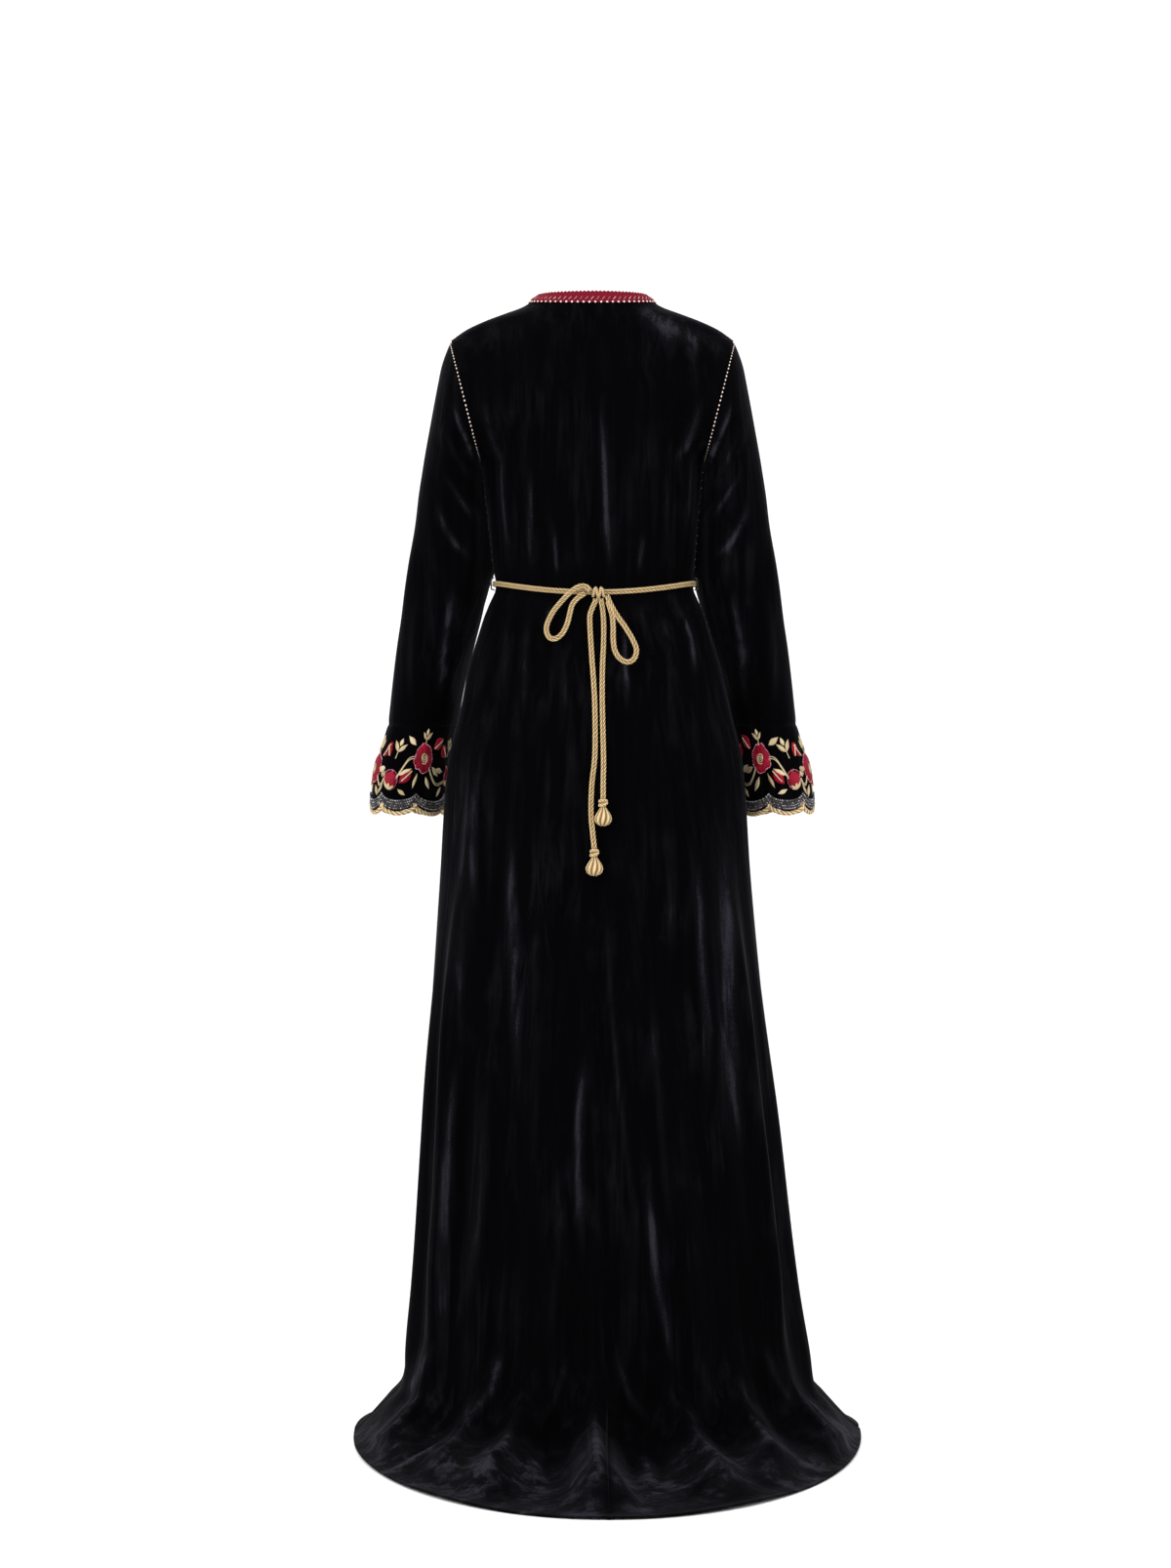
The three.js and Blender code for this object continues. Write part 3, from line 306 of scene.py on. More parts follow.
BODY = Table(
    ("down", "height", "side_height", "drift", "half", "back", "front"),
    (
        (0, 1350, 1350, 0, 155.5, 100, 118), (75, 1275, 1275, -1, 148, 97, 114),
        (146, 1204, 1204, -2, 141, 92, 101), (178, 1172, 1172, -3, 138, 90, 97),
        (200, 1150, 1150, -3, 147, 95, 100), (223, 1127, 1127, -3, 156, 103, 104),
        (290, 1060, 1060, -3, 176, 123, 110), (352, 998, 998, -4, 189, 135, 115),
        (420, 930, 930, -4, 205, 141, 119), (588, 762, 762, -5, 217, 157, 136),
        (772, 578, 578, -7, 232, 179, 158), (955, 395, 395, -11, 247, 202, 180),
        (1139, 211, 211, -16, 263, 221, 199), (1240, 110, 112, -19, 276, 231, 209),
        (1290, 62, 66, -20, 284, 241, 217), (1334, 24, 44, -20, 304, 268, 234),
        (1385, 9, 30, -20, 319, 317, 256), (1447, 5, 19, -20, 331, 379, 281),
        (1535, 3.6, 9, -20, 342, 467, 308), (1623, 2.4, 2.4, -20, 351, 555, 330),
    ),
)
HEM = 1623.0
FLOOR_CLEARANCE = 2.2
SKIRT_FOLDS = tuple(Fold(*row) for row in (
    (54, 58, 470, 1330, 24, 4.4), (36, 38, 640, 1350, 12, 5), (19, 17, 420, 1290, 15, 5),
    (2, 5, 520, 1290, 11, 3.6), (-7, -14, 400, 1290, 16, 3.8), (-20, -26, 620, 1330, 15, 4),
    (-43, -41, 420, 1180, 11, 4), (-54, -58, 470, 1330, 25, 4.2), (74, 78, 560, 1420, 9, 5),
    (-76, -80, 620, 1440, 10, 5), (4, 2, 1200, 1600, 52, 3.6), (19, 29, 1180, 1590, 34, 4.2),
    (32, 42, 1190, 1570, 28, 4.6), (56, 62, 1200, 1560, 20, 6), (-15, -28, 1180, 1600, 36, 4.2),
    (-35, -42, 1170, 1580, 32, 4.6), (-58, -64, 1190, 1570, 22, 6), (176, 178, 420, 1560, 15, 5),
    (157, 150, 480, 1570, 17, 5), (126, 122, 440, 1540, 18, 5.4), (103, 101, 620, 1500, 9, 5),
    (-155, -152, 520, 1570, 16, 5), (-128, -124, 460, 1540, 18, 5.4), (-102, -100, 600, 1500, 9, 5),
))
# Creases of the back: bodice, waist, skirt and train
BACK_CREASES = creases_from((
    (3.2, 7, -11, 1442, -20, 1237, -28, 1177), (3.0, 7, -48, 1372, -30, 1192),
    (3.6, 6, 117, 1390, 122, 1329, 117, 1244, 114, 1180), (3.0, 6, 86, 1345, 84, 1268, 86, 1188),
    (2.6, 5, 25, 1262, 17, 1186), (2.2, 5, 52, 1250, 48, 1184),
    (3.4, 6, -133, 1412, -132, 1300, -126, 1210), (3.4, 6.5, -101, 1340, -100, 1244, -92, 1180),
    (2.4, 5, -70, 1246, -62, 1184), (2.6, 5, 140, 1300, 132, 1210),
    (2.6, 8, 150, 1432, 136, 1372, 112, 1330), (2.6, 8, -152, 1436, -134, 1376, -108, 1336),
    (2.0, 22, 52, 1560, 96, 1532, 166, 1504), (2.0, 22, -54, 1560, -98, 1532, -166, 1502),
    (3.4, 6, 112, 1150, 118, 1096, 122, 1020), (3.6, 7, 84, 1148, 90, 1084, 92, 980),
    (2.6, 5, 58, 1148, 62, 1102), (3.4, 7, 33, 1146, 36, 1072, 42, 940),
    (3.2, 6, -38, 1146, -44, 1080, -46, 990), (2.8, 5, -66, 1148, -72, 1092),
    (3.8, 7, -92, 1150, -104, 1070, -112, 930), (3.0, 6, -120, 1150, -134, 1096, -142, 1040),
    (3.0, 7, 132, 1130, 146, 1064, 160, 990), (4.0, 9, 150, 960, 161, 840, 160, 700),
    (4.5, 10, 112, 900, 106, 640, 98, 430), (4.0, 9, 68, 850, 76, 600, 84, 330),
    (3.2, 8, 12, 560, 18, 420, 14, 250), (4.2, 7, -12, 800, -38, 480, -74, 210),
    (4.4, 8, -80, 640, -86, 500, -108, 270), (4.6, 10, -132, 860, -148, 660, -160, 450),
    (4.0, 9, -176, 600, -196, 380, -214, 200), (3.8, 9, 182, 560, 196, 380, 204, 240),
    (4.2, 9, 142, 520, 150, 330, 172, 170), (4.0, 9, 40, 420, 48, 250, 64, 120),
    (4.2, 9, -70, 400, -84, 240, -110, 110), (6, 9, 30, 150, 52, 84, 84, 46),
    (6, 9, -30, 150, -48, 92, -82, 50), (6, 9, 120, 150, 136, 92, 178, 52),
    (6, 9, -136, 150, -160, 84, -198, 50), (5, 9, 212, 150, 236, 90, 262, 56),
    (5, 9, -226, 150, -250, 92, -276, 56), (2.5, 22, 160, 1040, 170, 880, 176, 700, 182, 500),
    (2.5, 22, -168, 900, -180, 720, -186, 540, -192, 360),
)) + creases_from((
    (6, 8, 60, 262, 76, 320, 70, 400), (6, 8, -62, 262, -72, 330, -66, 410),
    (5, 7, 186, 236, 222, 270, 262, 300), (4, 7, -30, 420, -46, 470, -40, 520),
), View.FLOOR)
# Creases of the front, which hangs more plainly
FRONT_CREASES = creases_from((
    (2.8, 7, -34, 1330, -26, 1240, -24, 1180), (3.4, 8, 62, 1400, 70, 1290, 64, 1184),
    (3.2, 8, -84, 1390, -80, 1290, -72, 1184), (3.0, 6, 118, 1370, 112, 1270, 106, 1184),
    (3.0, 6, -124, 1380, -118, 1280, -110, 1184), (2.4, 6, 28, 1270, 24, 1186),
    (2.6, 8, 146, 1436, 128, 1384, 96, 1352), (2.6, 8, -146, 1432, -130, 1378, -100, 1346),
    (3.6, 7, 110, 1150, 120, 1050, 128, 930), (3.0, 5, 78, 1148, 84, 1086),
    (3.8, 8, 46, 1148, 50, 1010, 60, 860), (2.8, 6, 10, 1146, 12, 1080),
    (3.6, 7, -22, 1148, -28, 1040, -30, 900), (2.8, 5, -58, 1148, -66, 1080),
    (3.8, 8, -88, 1148, -96, 1030, -108, 880), (3.0, 6, -122, 1150, -136, 1080),
    (4.4, 10, 26, 820, 22, 560, 14, 300), (4.4, 10, 92, 800, 104, 540, 112, 280),
    (4.4, 10, -58, 840, -66, 560, -70, 290), (4.4, 10, -140, 820, -156, 560, -170, 300),
    (4.2, 9, 168, 780, 182, 540, 196, 300), (4.4, 9, 60, 420, 66, 240, 78, 110),
    (4.4, 9, -20, 430, -26, 250, -38, 110), (4.4, 9, -112, 400, -122, 230, -140, 110),
    (4.4, 9, 150, 380, 160, 230, 182, 110),
)) + creases_from((
    (6, 10, 30, -238, 36, -280), (6, 10, -70, -232, -84, -280), (6, 10, 120, -226, 140, -262),
    (6, 10, -160, -220, -184, -252),
), View.FLOOR)

SLEEVE_NAMES = ("index", "outer_x", "outer_z", "inner_x", "inner_z", "middle_y", "skew", "depth")
SLEEVE = Table(
    SLEEVE_NAMES,
    (
        (0, 197, 1517, 155.5, 1350, 0, 0, 78), (1, 209, 1486, 156.2, 1335, -6, 2, 77),
        (2, 216, 1455, 154, 1310, -14, 6, 76), (3, 226, 1402, 150.5, 1270, -19, 9, 76),
        (4, 236, 1345, 148, 1232, -21, 10, 76), (5, 246, 1270, 147, 1192, -24, 11, 77),
        (6, 256, 1204, 152, 1150, -28, 12, 77), (7, 267, 1128, 165, 1098, -37, 14, 78),
        (8, 278, 1056, 179, 1044, -47, 16, 78), (9, 287, 984, 191, 980, -57, 18, 77),
    ),
)
CUFF = Table(
    SLEEVE_NAMES,
    (
        (0, 287, 984, 191, 980, -57, 18, 77), (1, 295, 957, 196, 953, -60, 19, 77.5),
        (2, 304, 925, 200, 921, -63, 20, 79), (3, 309.5, 896, 202, 892, -65, 20, 80),
        (4, 311, 870, 203, 866, -66, 20, 80.5),
    ),
)
SLEEVE_FOLDS = tuple(Fold(*row) for row in (
    (62, 78, 0.9, 5.4, 6, 13), (128, 112, 2.0, 8.6, 7, 13), (30, 22, 3.4, 8.8, 4, 14),
    (236, 250, 1.6, 8.2, 7, 14), (300, 286, 0.9, 5.8, 6, 14),
))
# Soft creases of a sleeve, as seen from behind and from the front; x is the distance out from the middle
SLEEVE_BACK_CREASES = creases_from((
    (3.6, 6, 194, 1430, 176, 1380, 158, 1330), (3.8, 6, 208, 1400, 188, 1350, 160, 1306),
    (3.2, 6, 206, 1330, 182, 1290, 158, 1256), (3.0, 7, 216, 1290, 196, 1240, 164, 1206),
    (3.0, 9, 232, 1340, 226, 1240, 206, 1150), (3.2, 8, 190, 1180, 206, 1090, 214, 1000),
    (3.2, 9, 240, 1180, 250, 1090, 252, 1000), (2.4, 7, 176, 1120, 196, 1050, 204, 996),
))
SLEEVE_FRONT_CREASES = creases_from((
    (3.4, 6, 198, 1436, 184, 1390, 162, 1344), (3.4, 6, 212, 1380, 192, 1330, 162, 1296),
    (3.0, 8, 222, 1310, 204, 1250, 172, 1206), (3.0, 9, 236, 1240, 238, 1130, 232, 1010),
    (3.0, 8, 196, 1170, 206, 1080, 208, 1000),
))

SCALLOP_COUNT, SCALLOP_DEPTH, FIRST_CUSP, SCALLOP_BELOW, SCALLOP_ROUNDNESS = 8, 17.0, 0.15, 0.35, 0.97
CUFF_PERIMETER, CUFF_TALL = 440.0, 100.0
# Padded figures under the embroidery: share of the way round, share of the way down, radius and rise
FLOWERS = (
    (0.27, 0.4, 17, 2), (0.07, 0.5, 17, 2), (0.165, 0.62, 12, 1.6), (0.4, 0.6, 12, 1.6),
    (0.52, 0.4, 17, 2), (0.645, 0.6, 12, 1.6), (0.77, 0.4, 17, 2), (0.9, 0.58, 12, 1.6),
)

BELT_THICK, BELT_HEIGHT, BELT_BACK_DIP, BELT_FRONT_DIP, BELT_REST = 3.8, 1179.0, 17.0, 4.0, 0.9
KNOT_X, KNOT_HEIGHT, KNOT_WIDE, KNOT_TALL, KNOT_DEEP = -8.0, 1161.0, 19.0, 15.0, 12.0
CORD_WIDE, CORD_THICK, CORD_REST = 7.4, 4.2, 1.2
LOOP_LEFT = (
    (2.9, 1163), (9, 1169), (18, 1169), (28, 1163), (40, 1151), (53, 1135), (61, 1119), (62.5, 1108),
    (58.5, 1099), (51, 1097), (42, 1103), (35, 1116), (31, 1131), (27.5, 1144), (20, 1153.5), (11, 1159.5),
)
LOOP_RIGHT = (
    (-19.6, 1157), (-25, 1144), (-34, 1128), (-44.5, 1113), (-54.5, 1096), (-59.5, 1082), (-56.5, 1070),
    (-48, 1065), (-38, 1069), (-30.5, 1080), (-28, 1096), (-28, 1113), (-26.5, 1130), (-21, 1148),
)
TAIL_LEFT = (
    (-4, 1153), (-4, 1149), (0, 1140), (3.4, 1129), (3.2, 1110), (1, 1074), (-1.4, 1040), (-3, 1010),
    (-3.6, 970), (-3, 935), (0.6, 902), (1.8, 880), (1.8, 858), (0.2, 838), (-2.4, 813),
)
TAIL_RIGHT = (
    (-12, 1153), (-12, 1149), (-13.6, 1140), (-14.8, 1129), (-15.4, 1112), (-15, 1090), (-13.4, 1054),
    (-13.2, 1010), (-14.8, 935), (-14.4, 906), (-14.2, 880),
)
TASSEL_KNOT_TALL, TASSEL_BULB_WIDE, TASSEL_BULB_TALL = 9.0, 23.0, 26.0


def body_ring(down: Array, angle: Array) -> Array:
    """Return points of the body below the underarm, without folds; angle 0 is centre back."""
    sine, cosine = np.sin(np.radians(angle)), np.cos(np.radians(angle))
    depth = np.where(cosine > 0, BODY.read(down, "back"), BODY.read(down, "front"))
    middle, side = BODY.read(down, "height"), BODY.read(down, "side_height")
    x = BODY.read(down, "drift") + BODY.read(down, "half") * sine
    return np.stack([x, depth * cosine, middle + (side - middle) * sine * sine], axis=-1)


def body_point(down: Array, angle: Array) -> Array:
    """Return points of the body below the underarm, moved out square to the cloth by its folds."""
    down, angle = np.broadcast_arrays(np.asarray(down, float), np.asarray(angle, float))
    rise = sum(fold.height(down, angle) for fold in SKIRT_FOLDS)
    across = body_ring(down, angle + 1) - body_ring(down, angle - 1)
    along = body_ring(np.minimum(down + 4, HEM), angle) - body_ring(np.maximum(down - 4, 0), angle)
    points = body_ring(down, angle) + unit(np.cross(across, along)) * rise[..., None]
    points[..., 2] = np.maximum(points[..., 2], FLOOR_CLEARANCE)
    return points


def yoke_point(is_back: bool, side: int, u: Array, row: Array) -> Array:
    """Return points of the yoke.

    Args:
        is_back: Whether it is the back's yoke.
        side: LEFT or RIGHT.
        u: Share of the way from the centre to the seams.
        row: Row from the neckline, 0, to the underarm.

    Returns:
        The points.
    """
    last = len(SHOULDER_ROWS) - 1
    phi = np.pi * np.clip((row - last) / ARMHOLE_ROWS, 0, 1)
    share = (1 - np.cos(phi)) / 2
    on_shoulder = row < last
    shoulder_out = np.interp(row, np.arange(last + 1), SHOULDER_ROWS)
    underarm_half = BODY.rows[0][4]
    out = np.where(on_shoulder, shoulder_out, SHOULDER_HALF + (underarm_half - SHOULDER_HALF) * share)
    depth = np.where(on_shoulder, 0, ARMHOLE_HALF_DEPTH * np.sin(phi))
    seam_height = SHOULDER_LINE.read(shoulder_out, "height")
    height = np.where(on_shoulder, seam_height, SHOULDER_HEIGHT + (UNDERARM - SHOULDER_HEIGHT) * share)
    openness = np.where(on_shoulder, 0, np.sin(phi))
    middle = BACK_MIDDLE if is_back else FRONT_MIDDLE
    across = np.sin(u * np.pi / 2)
    across = across + (u - across) * openness * 0.8
    inward = np.maximum(1 - across * across, 0)
    depth = depth + (middle.read(row, "depth") - depth) * inward ** ((1 + openness) / 2)
    steepness = np.clip(row / last, 0, 1)
    height = height + (middle.read(row, "height") - height) * inward ** ((1 + steepness) / 2)
    x = out * across
    if not is_back:
        rise = np.clip((height - SLIT_FOOT) / (SLIT_TOP - SLIT_FOOT), 0, 1)
        x = x + SLIT_HALF_WIDTH * rise * np.maximum(1 - x / SLIT_FADE, 0)
    return np.stack([side * x, depth if is_back else -depth, height], axis=-1)


def surface(level: Array, angle: Array, is_back: bool) -> Array:
    """Return points of the whole body.

    Args:
        level: -1 at the top edge, 0 at the underarm, and the distance down the cloth below it.
        angle: 0 at centre back, 90 at the wearer's left side seam, 180 at centre front.
        is_back: Which panel a point at a side seam belongs to.

    Returns:
        The points.
    """
    level, angle = np.broadcast_arrays(np.asarray(level, float), np.asarray(angle, float))
    side = LEFT if float(np.sum(angle)) >= 0 else RIGHT
    turned = np.abs(angle) if is_back else 180 - np.abs(angle)
    yoke = yoke_point(is_back, side, turned / 90, np.clip((1 + level) * YOKE_ROWS, 0, YOKE_ROWS))
    below = body_point(np.maximum(level, 0), angle)
    return np.where((level < 0)[..., None], yoke, below)


def tube_point(table: Table, folds: tuple[Fold, ...], side: int, at: Array, phi: Array) -> Array:
    """Return points of a sleeve or cuff.

    Args:
        table: The rings it runs through.
        folds: Its soft folds.
        side: LEFT or RIGHT.
        at: Place along it, in rings.
        phi: Angle round it; 0 is its outer line and 90 the back.

    Returns:
        The points.
    """
    at, phi = np.broadcast_arrays(np.asarray(at, float), np.asarray(phi, float))
    sine, cosine = np.sin(np.radians(phi)), np.cos(np.radians(phi))
    value = {name: table.read(at, name) for name in table.names[1:]}
    half_x = (value["outer_x"] - value["inner_x"]) / 2
    half_z = (value["outer_z"] - value["inner_z"]) / 2
    rise = sum((fold.height(at, phi) for fold in folds), np.zeros(at.shape))
    grow = 1 + rise / np.hypot(half_x, half_z)
    x = (value["outer_x"] + value["inner_x"]) / 2 + half_x * cosine * grow
    y = value["middle_y"] + value["skew"] * cosine + (value["depth"] + rise) * sine
    z = (value["outer_z"] + value["inner_z"]) / 2 + half_z * cosine * grow
    return np.stack([side * x, y, z], axis=-1)


def scallop_rise(round_share: Array) -> Array:
    """Return how far the cuff's edge rises: 0 at a lobe's tip and nearly the full depth at a cusp."""
    phase = (np.asarray(round_share, float) - FIRST_CUSP) * SCALLOP_COUNT
    from_tip = np.abs(phase - np.floor(phase) - 0.5) * 2
    return SCALLOP_DEPTH * (1 - np.sqrt(1 - SCALLOP_ROUNDNESS * from_tip**2))


def flower_rise(round_share: Array, down: Array) -> Array:
    """Return how far the padding of a cuff's flowers lifts its cloth."""
    rise = np.zeros(np.broadcast(round_share, down).shape)
    for at_round, at_down, radius, height in FLOWERS:
        turn = round_share - at_round - np.round(round_share - at_round)
        away = np.hypot(turn * CUFF_PERIMETER, (down - at_down) * CUFF_TALL)
        rise = np.maximum(rise, height * (1 - smoothstep(away, radius * 0.6, radius * 1.15)))
    return rise


def belt_height(angle: Array) -> Array:
    """Return the height of the belt's middle at an angle round the waist."""
    cosine = np.cos(np.radians(angle))
    return BELT_HEIGHT - np.where(cosine > 0, BELT_BACK_DIP, BELT_FRONT_DIP) * cosine**2


def back_depth(x: float, height: float) -> float:
    """Return how far behind the side seams the cloth stands at a place on the back."""
    level = UNDERARM - height
    angle = math.degrees(math.asin(min(max((x + 4) / 150, -0.9), 0.9)))
    for _ in range(12):
        angle += (x - float(body_point(level, angle)[0])) / 2.6
    return float(body_point(level, angle)[1])


def clear_depth(x: float, height: float, reach: float, drop: float) -> float:
    """Return the largest depth of the cloth round a place, so that a hanging piece clears its folds."""
    across = (-reach, -reach / 2, 0, reach / 2, reach)
    return max(back_depth(x + dx, height + dz) for dx in across for dz in (6, 0, -6, -drop))


# ---- finishes


def linear(colour: str) -> tuple[float, float, float, float]:
    """Turn an sRGB hex colour into linear light.

    Args:
        colour: A colour such as "#CDB07A".

    Returns:
        Red, green, blue and an alpha of 1.
    """
    parts = [int(colour[k:k + 2], 16) / 255 for k in (1, 3, 5)]
    red, green, blue = [p / 12.92 if p <= 0.04045 else ((p + 0.055) / 1.055) ** 2.4 for p in parts]
    return red, green, blue, 1.0


def add_node(tree: Tree, kind: str, settings: dict | None = None, sockets: dict | None = None,
             stops: tuple[tuple[float, str], ...] = ()) -> Node:
    """Add one node with its settings, its inputs and, on a colour ramp, its stops.

    Args:
        tree: The material's node tree.
        kind: The node's type name, without ShaderNode before it.
        settings: Properties of the node.
        sockets: Inputs by name or number, each a value, the output that feeds it, or the node whose first
            output feeds it.
        stops: Places from 0 to 1 on a colour ramp, each with its sRGB hex colour.

    Returns:
        The node.
    """
    node = tree.nodes.new("ShaderNode" + kind)
    for name, value in (settings or {}).items():
        setattr(node, name, value)
    for name, value in (sockets or {}).items():
        value = value.outputs[0] if isinstance(value, Node) else value
        if isinstance(value, bpy.types.NodeSocket):
            tree.links.new(value, node.inputs[name])
        else:
            node.inputs[name].default_value = value
    if stops:
        elements = node.color_ramp.elements
        while len(elements) < len(stops):
            elements.new(0.5)
        for element, (place, colour) in zip(elements, stops):
            element.position, element.color = place, linear(colour)
    return node


@dataclass(frozen=True)
class Finish:
    """A surface: its name and its shader's inputs."""

    name: str

    def inputs(self, tree: Tree) -> dict:
        """Return the shader's inputs by name, each a fixed value or the node that feeds it."""
        raise NotImplementedError

    def build(self) -> bpy.types.Material:
        """Return the finish's material."""
        material = bpy.data.materials.new(self.name)
        material.use_nodes = True
        tree = material.node_tree
        tree.nodes.clear()
        shader = add_node(tree, "BsdfPrincipled", sockets=self.inputs(tree))
        add_node(tree, "OutputMaterial", sockets={"Surface": shader})
        return material


@dataclass(frozen=True)
class PileVelvet(Finish):
    """Woven rayon pile: very deep where it is seen square on, with a soft bloom of light at grazing angles from
    its sheen. Its base colour also carries painted sheen: lighter on creases and on the train, where the tone
    attribute asks for it, and in long lighter streaks."""

    deep: str = "#020203"
    # Painted sheen colours: a faint sheen for the streaks and the brightest sheen for creases and the train.
    faint_sheen: str = "#0A0A0D"
    bright_sheen: str = "#26252C"
    bloom: str = "#8E8C9C"
    streaks_per_metre: float = 62.0
    streak_stretch: float = 0.06
    patches_per_metre: float = 9.0
    pile_per_metre: float = 700.0

    def inputs(self, tree: Tree) -> dict:
        """Return the shader's inputs by name, each a fixed value or the node that feeds it."""
        place = add_node(tree, "TexCoord").outputs["Object"]
        lengthways = add_node(tree, "Mapping", sockets={
            "Vector": place, "Scale": (1.0, 1.0, self.streak_stretch)})
        streaks = add_node(tree, "TexNoise", sockets={
            "Vector": lengthways, "Scale": self.streaks_per_metre, "Detail": 4.0, "Roughness": 0.6,
            "Distortion": 0.4})
        patches = add_node(tree, "TexNoise", sockets={
            "Vector": place, "Scale": self.patches_per_metre, "Detail": 3.0, "Roughness": 0.55})
        pile = add_node(tree, "TexNoise", sockets={
            "Vector": place, "Scale": self.pile_per_metre, "Detail": 2.0, "Roughness": 0.65})
        # Painted sheen in long lighter streaks, gathered in patches, put into the base colour.
        faint_sheen = add_node(tree, "Math", {"operation": "MULTIPLY"}, {
            0: add_node(tree, "MapRange", sockets={
                "Value": streaks, "From Min": 0.46, "From Max": 0.74, "To Min": 0.0, "To Max": 0.62}),
            1: add_node(tree, "MapRange", sockets={
                "Value": patches, "From Min": 0.42, "From Max": 0.66, "To Min": 0.15, "To Max": 1.0})})
        feather = add_node(tree, "Math", {"operation": "MULTIPLY"}, {0: pile, 1: streaks})
        # Painted sheen along creases and on the train, where the tone attribute asks for it, broken up by the
        # pile.
        sheen_by_tone = add_node(tree, "Math", {"operation": "MULTIPLY"}, {
            0: add_node(tree, "Attribute", {"attribute_name": "tone"}).outputs["Fac"],
            1: add_node(tree, "MapRange", sockets={
                "Value": feather, "From Min": 0.16, "From Max": 0.36, "To Min": 0.35, "To Max": 1.3})})
        both = add_node(tree, "Math", {"operation": "ADD"}, {0: faint_sheen, 1: sheen_by_tone})
        folds = add_node(tree, "Bump", sockets={"Height": streaks, "Strength": 0.5, "Distance": 0.004})
        return {
            "Sheen Weight": 0.13, "Sheen Roughness": 0.28, "Sheen Tint": linear(self.bloom),
            "Specular IOR Level": 0.02, "IOR": 1.5,
            "Base Color": add_node(tree, "ValToRGB", sockets={"Fac": both}, stops=(
                (0.0, self.deep), (0.4, self.faint_sheen), (1.0, self.bright_sheen))),
            "Roughness": add_node(tree, "MapRange", sockets={"Value": both, "To Min": 0.97, "To Max": 0.72}),
            "Normal": add_node(tree, "Bump", sockets={
                "Height": pile, "Strength": 0.35, "Distance": 0.0006, "Normal": folds}),
        }


@dataclass(frozen=True)
class StitchedThread(Finish):
    """Satin stitch: parallel threads laid side by side, glossy along their length, drawn as coarse as it
    needs to show. The UV map holds millimetres, with the threads lying across its first axis."""

    shadow: str
    body: str
    light: str
    thread_mm: float = 0.9
    metallic: float = 0.0
    roughness: float = 0.46
    sheen: float = 0.08
    specular: float = 0.3

    def inputs(self, tree: Tree) -> dict:
        """Return the shader's inputs by name, each a fixed value or the node that feeds it."""
        place = add_node(tree, "UVMap", {"uv_map": "UVMap"})
        threads = add_node(tree, "TexWave", {"wave_type": "BANDS", "bands_direction": "X"}, {
            "Vector": place, "Scale": 0.314 / self.thread_mm, "Distortion": 0.6, "Detail": 1.0}).outputs["Fac"]
        tone = add_node(tree, "Attribute", {"attribute_name": "tone"}).outputs["Fac"]
        mixed = add_node(tree, "Math", {"operation": "MULTIPLY_ADD"}, {0: threads, 1: 0.45, 2: tone})
        return {
            "Metallic": self.metallic, "Sheen Weight": self.sheen, "Sheen Roughness": 0.4,
            "Sheen Tint": linear(self.light), "Specular IOR Level": self.specular,
            "Base Color": add_node(tree, "ValToRGB", sockets={"Fac": mixed}, stops=(
                (0.15, self.shadow), (0.6, self.body), (1.0, self.light))),
            "Roughness": add_node(tree, "MapRange", sockets={
                "Value": threads, "To Min": self.roughness + 0.2, "To Max": self.roughness}),
            "Normal": add_node(tree, "Bump", sockets={"Height": threads, "Strength": 0.6, "Distance": 0.0005}),
        }


@dataclass(frozen=True)
class CutBead(Finish):
    """Small cut beads of dark steel-grey or pearly glass, mottled with painted glints that stand for bright
    facets between dark ones, each bead with its own tone."""

    shadow: str
    body: str
    light: str
    metallic: float = 0.55
    roughness: float = 0.3

    def inputs(self, tree: Tree) -> dict:
        """Return the shader's inputs by name, each a fixed value or the node that feeds it."""
        place = add_node(tree, "TexCoord").outputs["Object"]
        grain = add_node(tree, "TexNoise", sockets={"Vector": place, "Scale": 900.0, "Detail": 1.0})
        tone = add_node(tree, "Attribute", {"attribute_name": "tone"}).outputs["Fac"]
        # Painted glints: fine noise lightens and darkens the colour across each bead.
        mixed = add_node(tree, "Math", {"operation": "MULTIPLY_ADD"}, {0: grain, 1: 0.3, 2: tone})
        return {
            "Metallic": self.metallic, "Coat Weight": 0.35, "Coat Roughness": 0.15,
            "Base Color": add_node(tree, "ValToRGB", sockets={"Fac": mixed}, stops=(
                (0.2, self.shadow), (0.6, self.body), (1.0, self.light))),
            "Roughness": add_node(tree, "MapRange", sockets={
                "Value": grain, "To Min": self.roughness - 0.08, "To Max": self.roughness + 0.2}),
        }


@dataclass(frozen=True)
class StudioPaper(Finish):
    """Matt white background paper, with the faint fibre that keeps it from looking like plastic."""

    colour: str = "#F4F4F3"

    def inputs(self, tree: Tree) -> dict:
        """Return the shader's inputs by name, each a fixed value or the node that feeds it."""
        place = add_node(tree, "TexCoord").outputs["Object"]
        fibre = add_node(tree, "TexNoise", sockets={"Vector": place, "Scale": 60.0, "Detail": 3.0})
        return {
            "Specular IOR Level": 0.2,
            "Base Color": add_node(tree, "ValToRGB", sockets={"Fac": fibre}, stops=(
                (0.3, "#F1F1F0"), (0.7, self.colour))),
            "Roughness": add_node(tree, "MapRange", sockets={"Value": fibre, "To Min": 0.85, "To Max": 0.95}),
        }


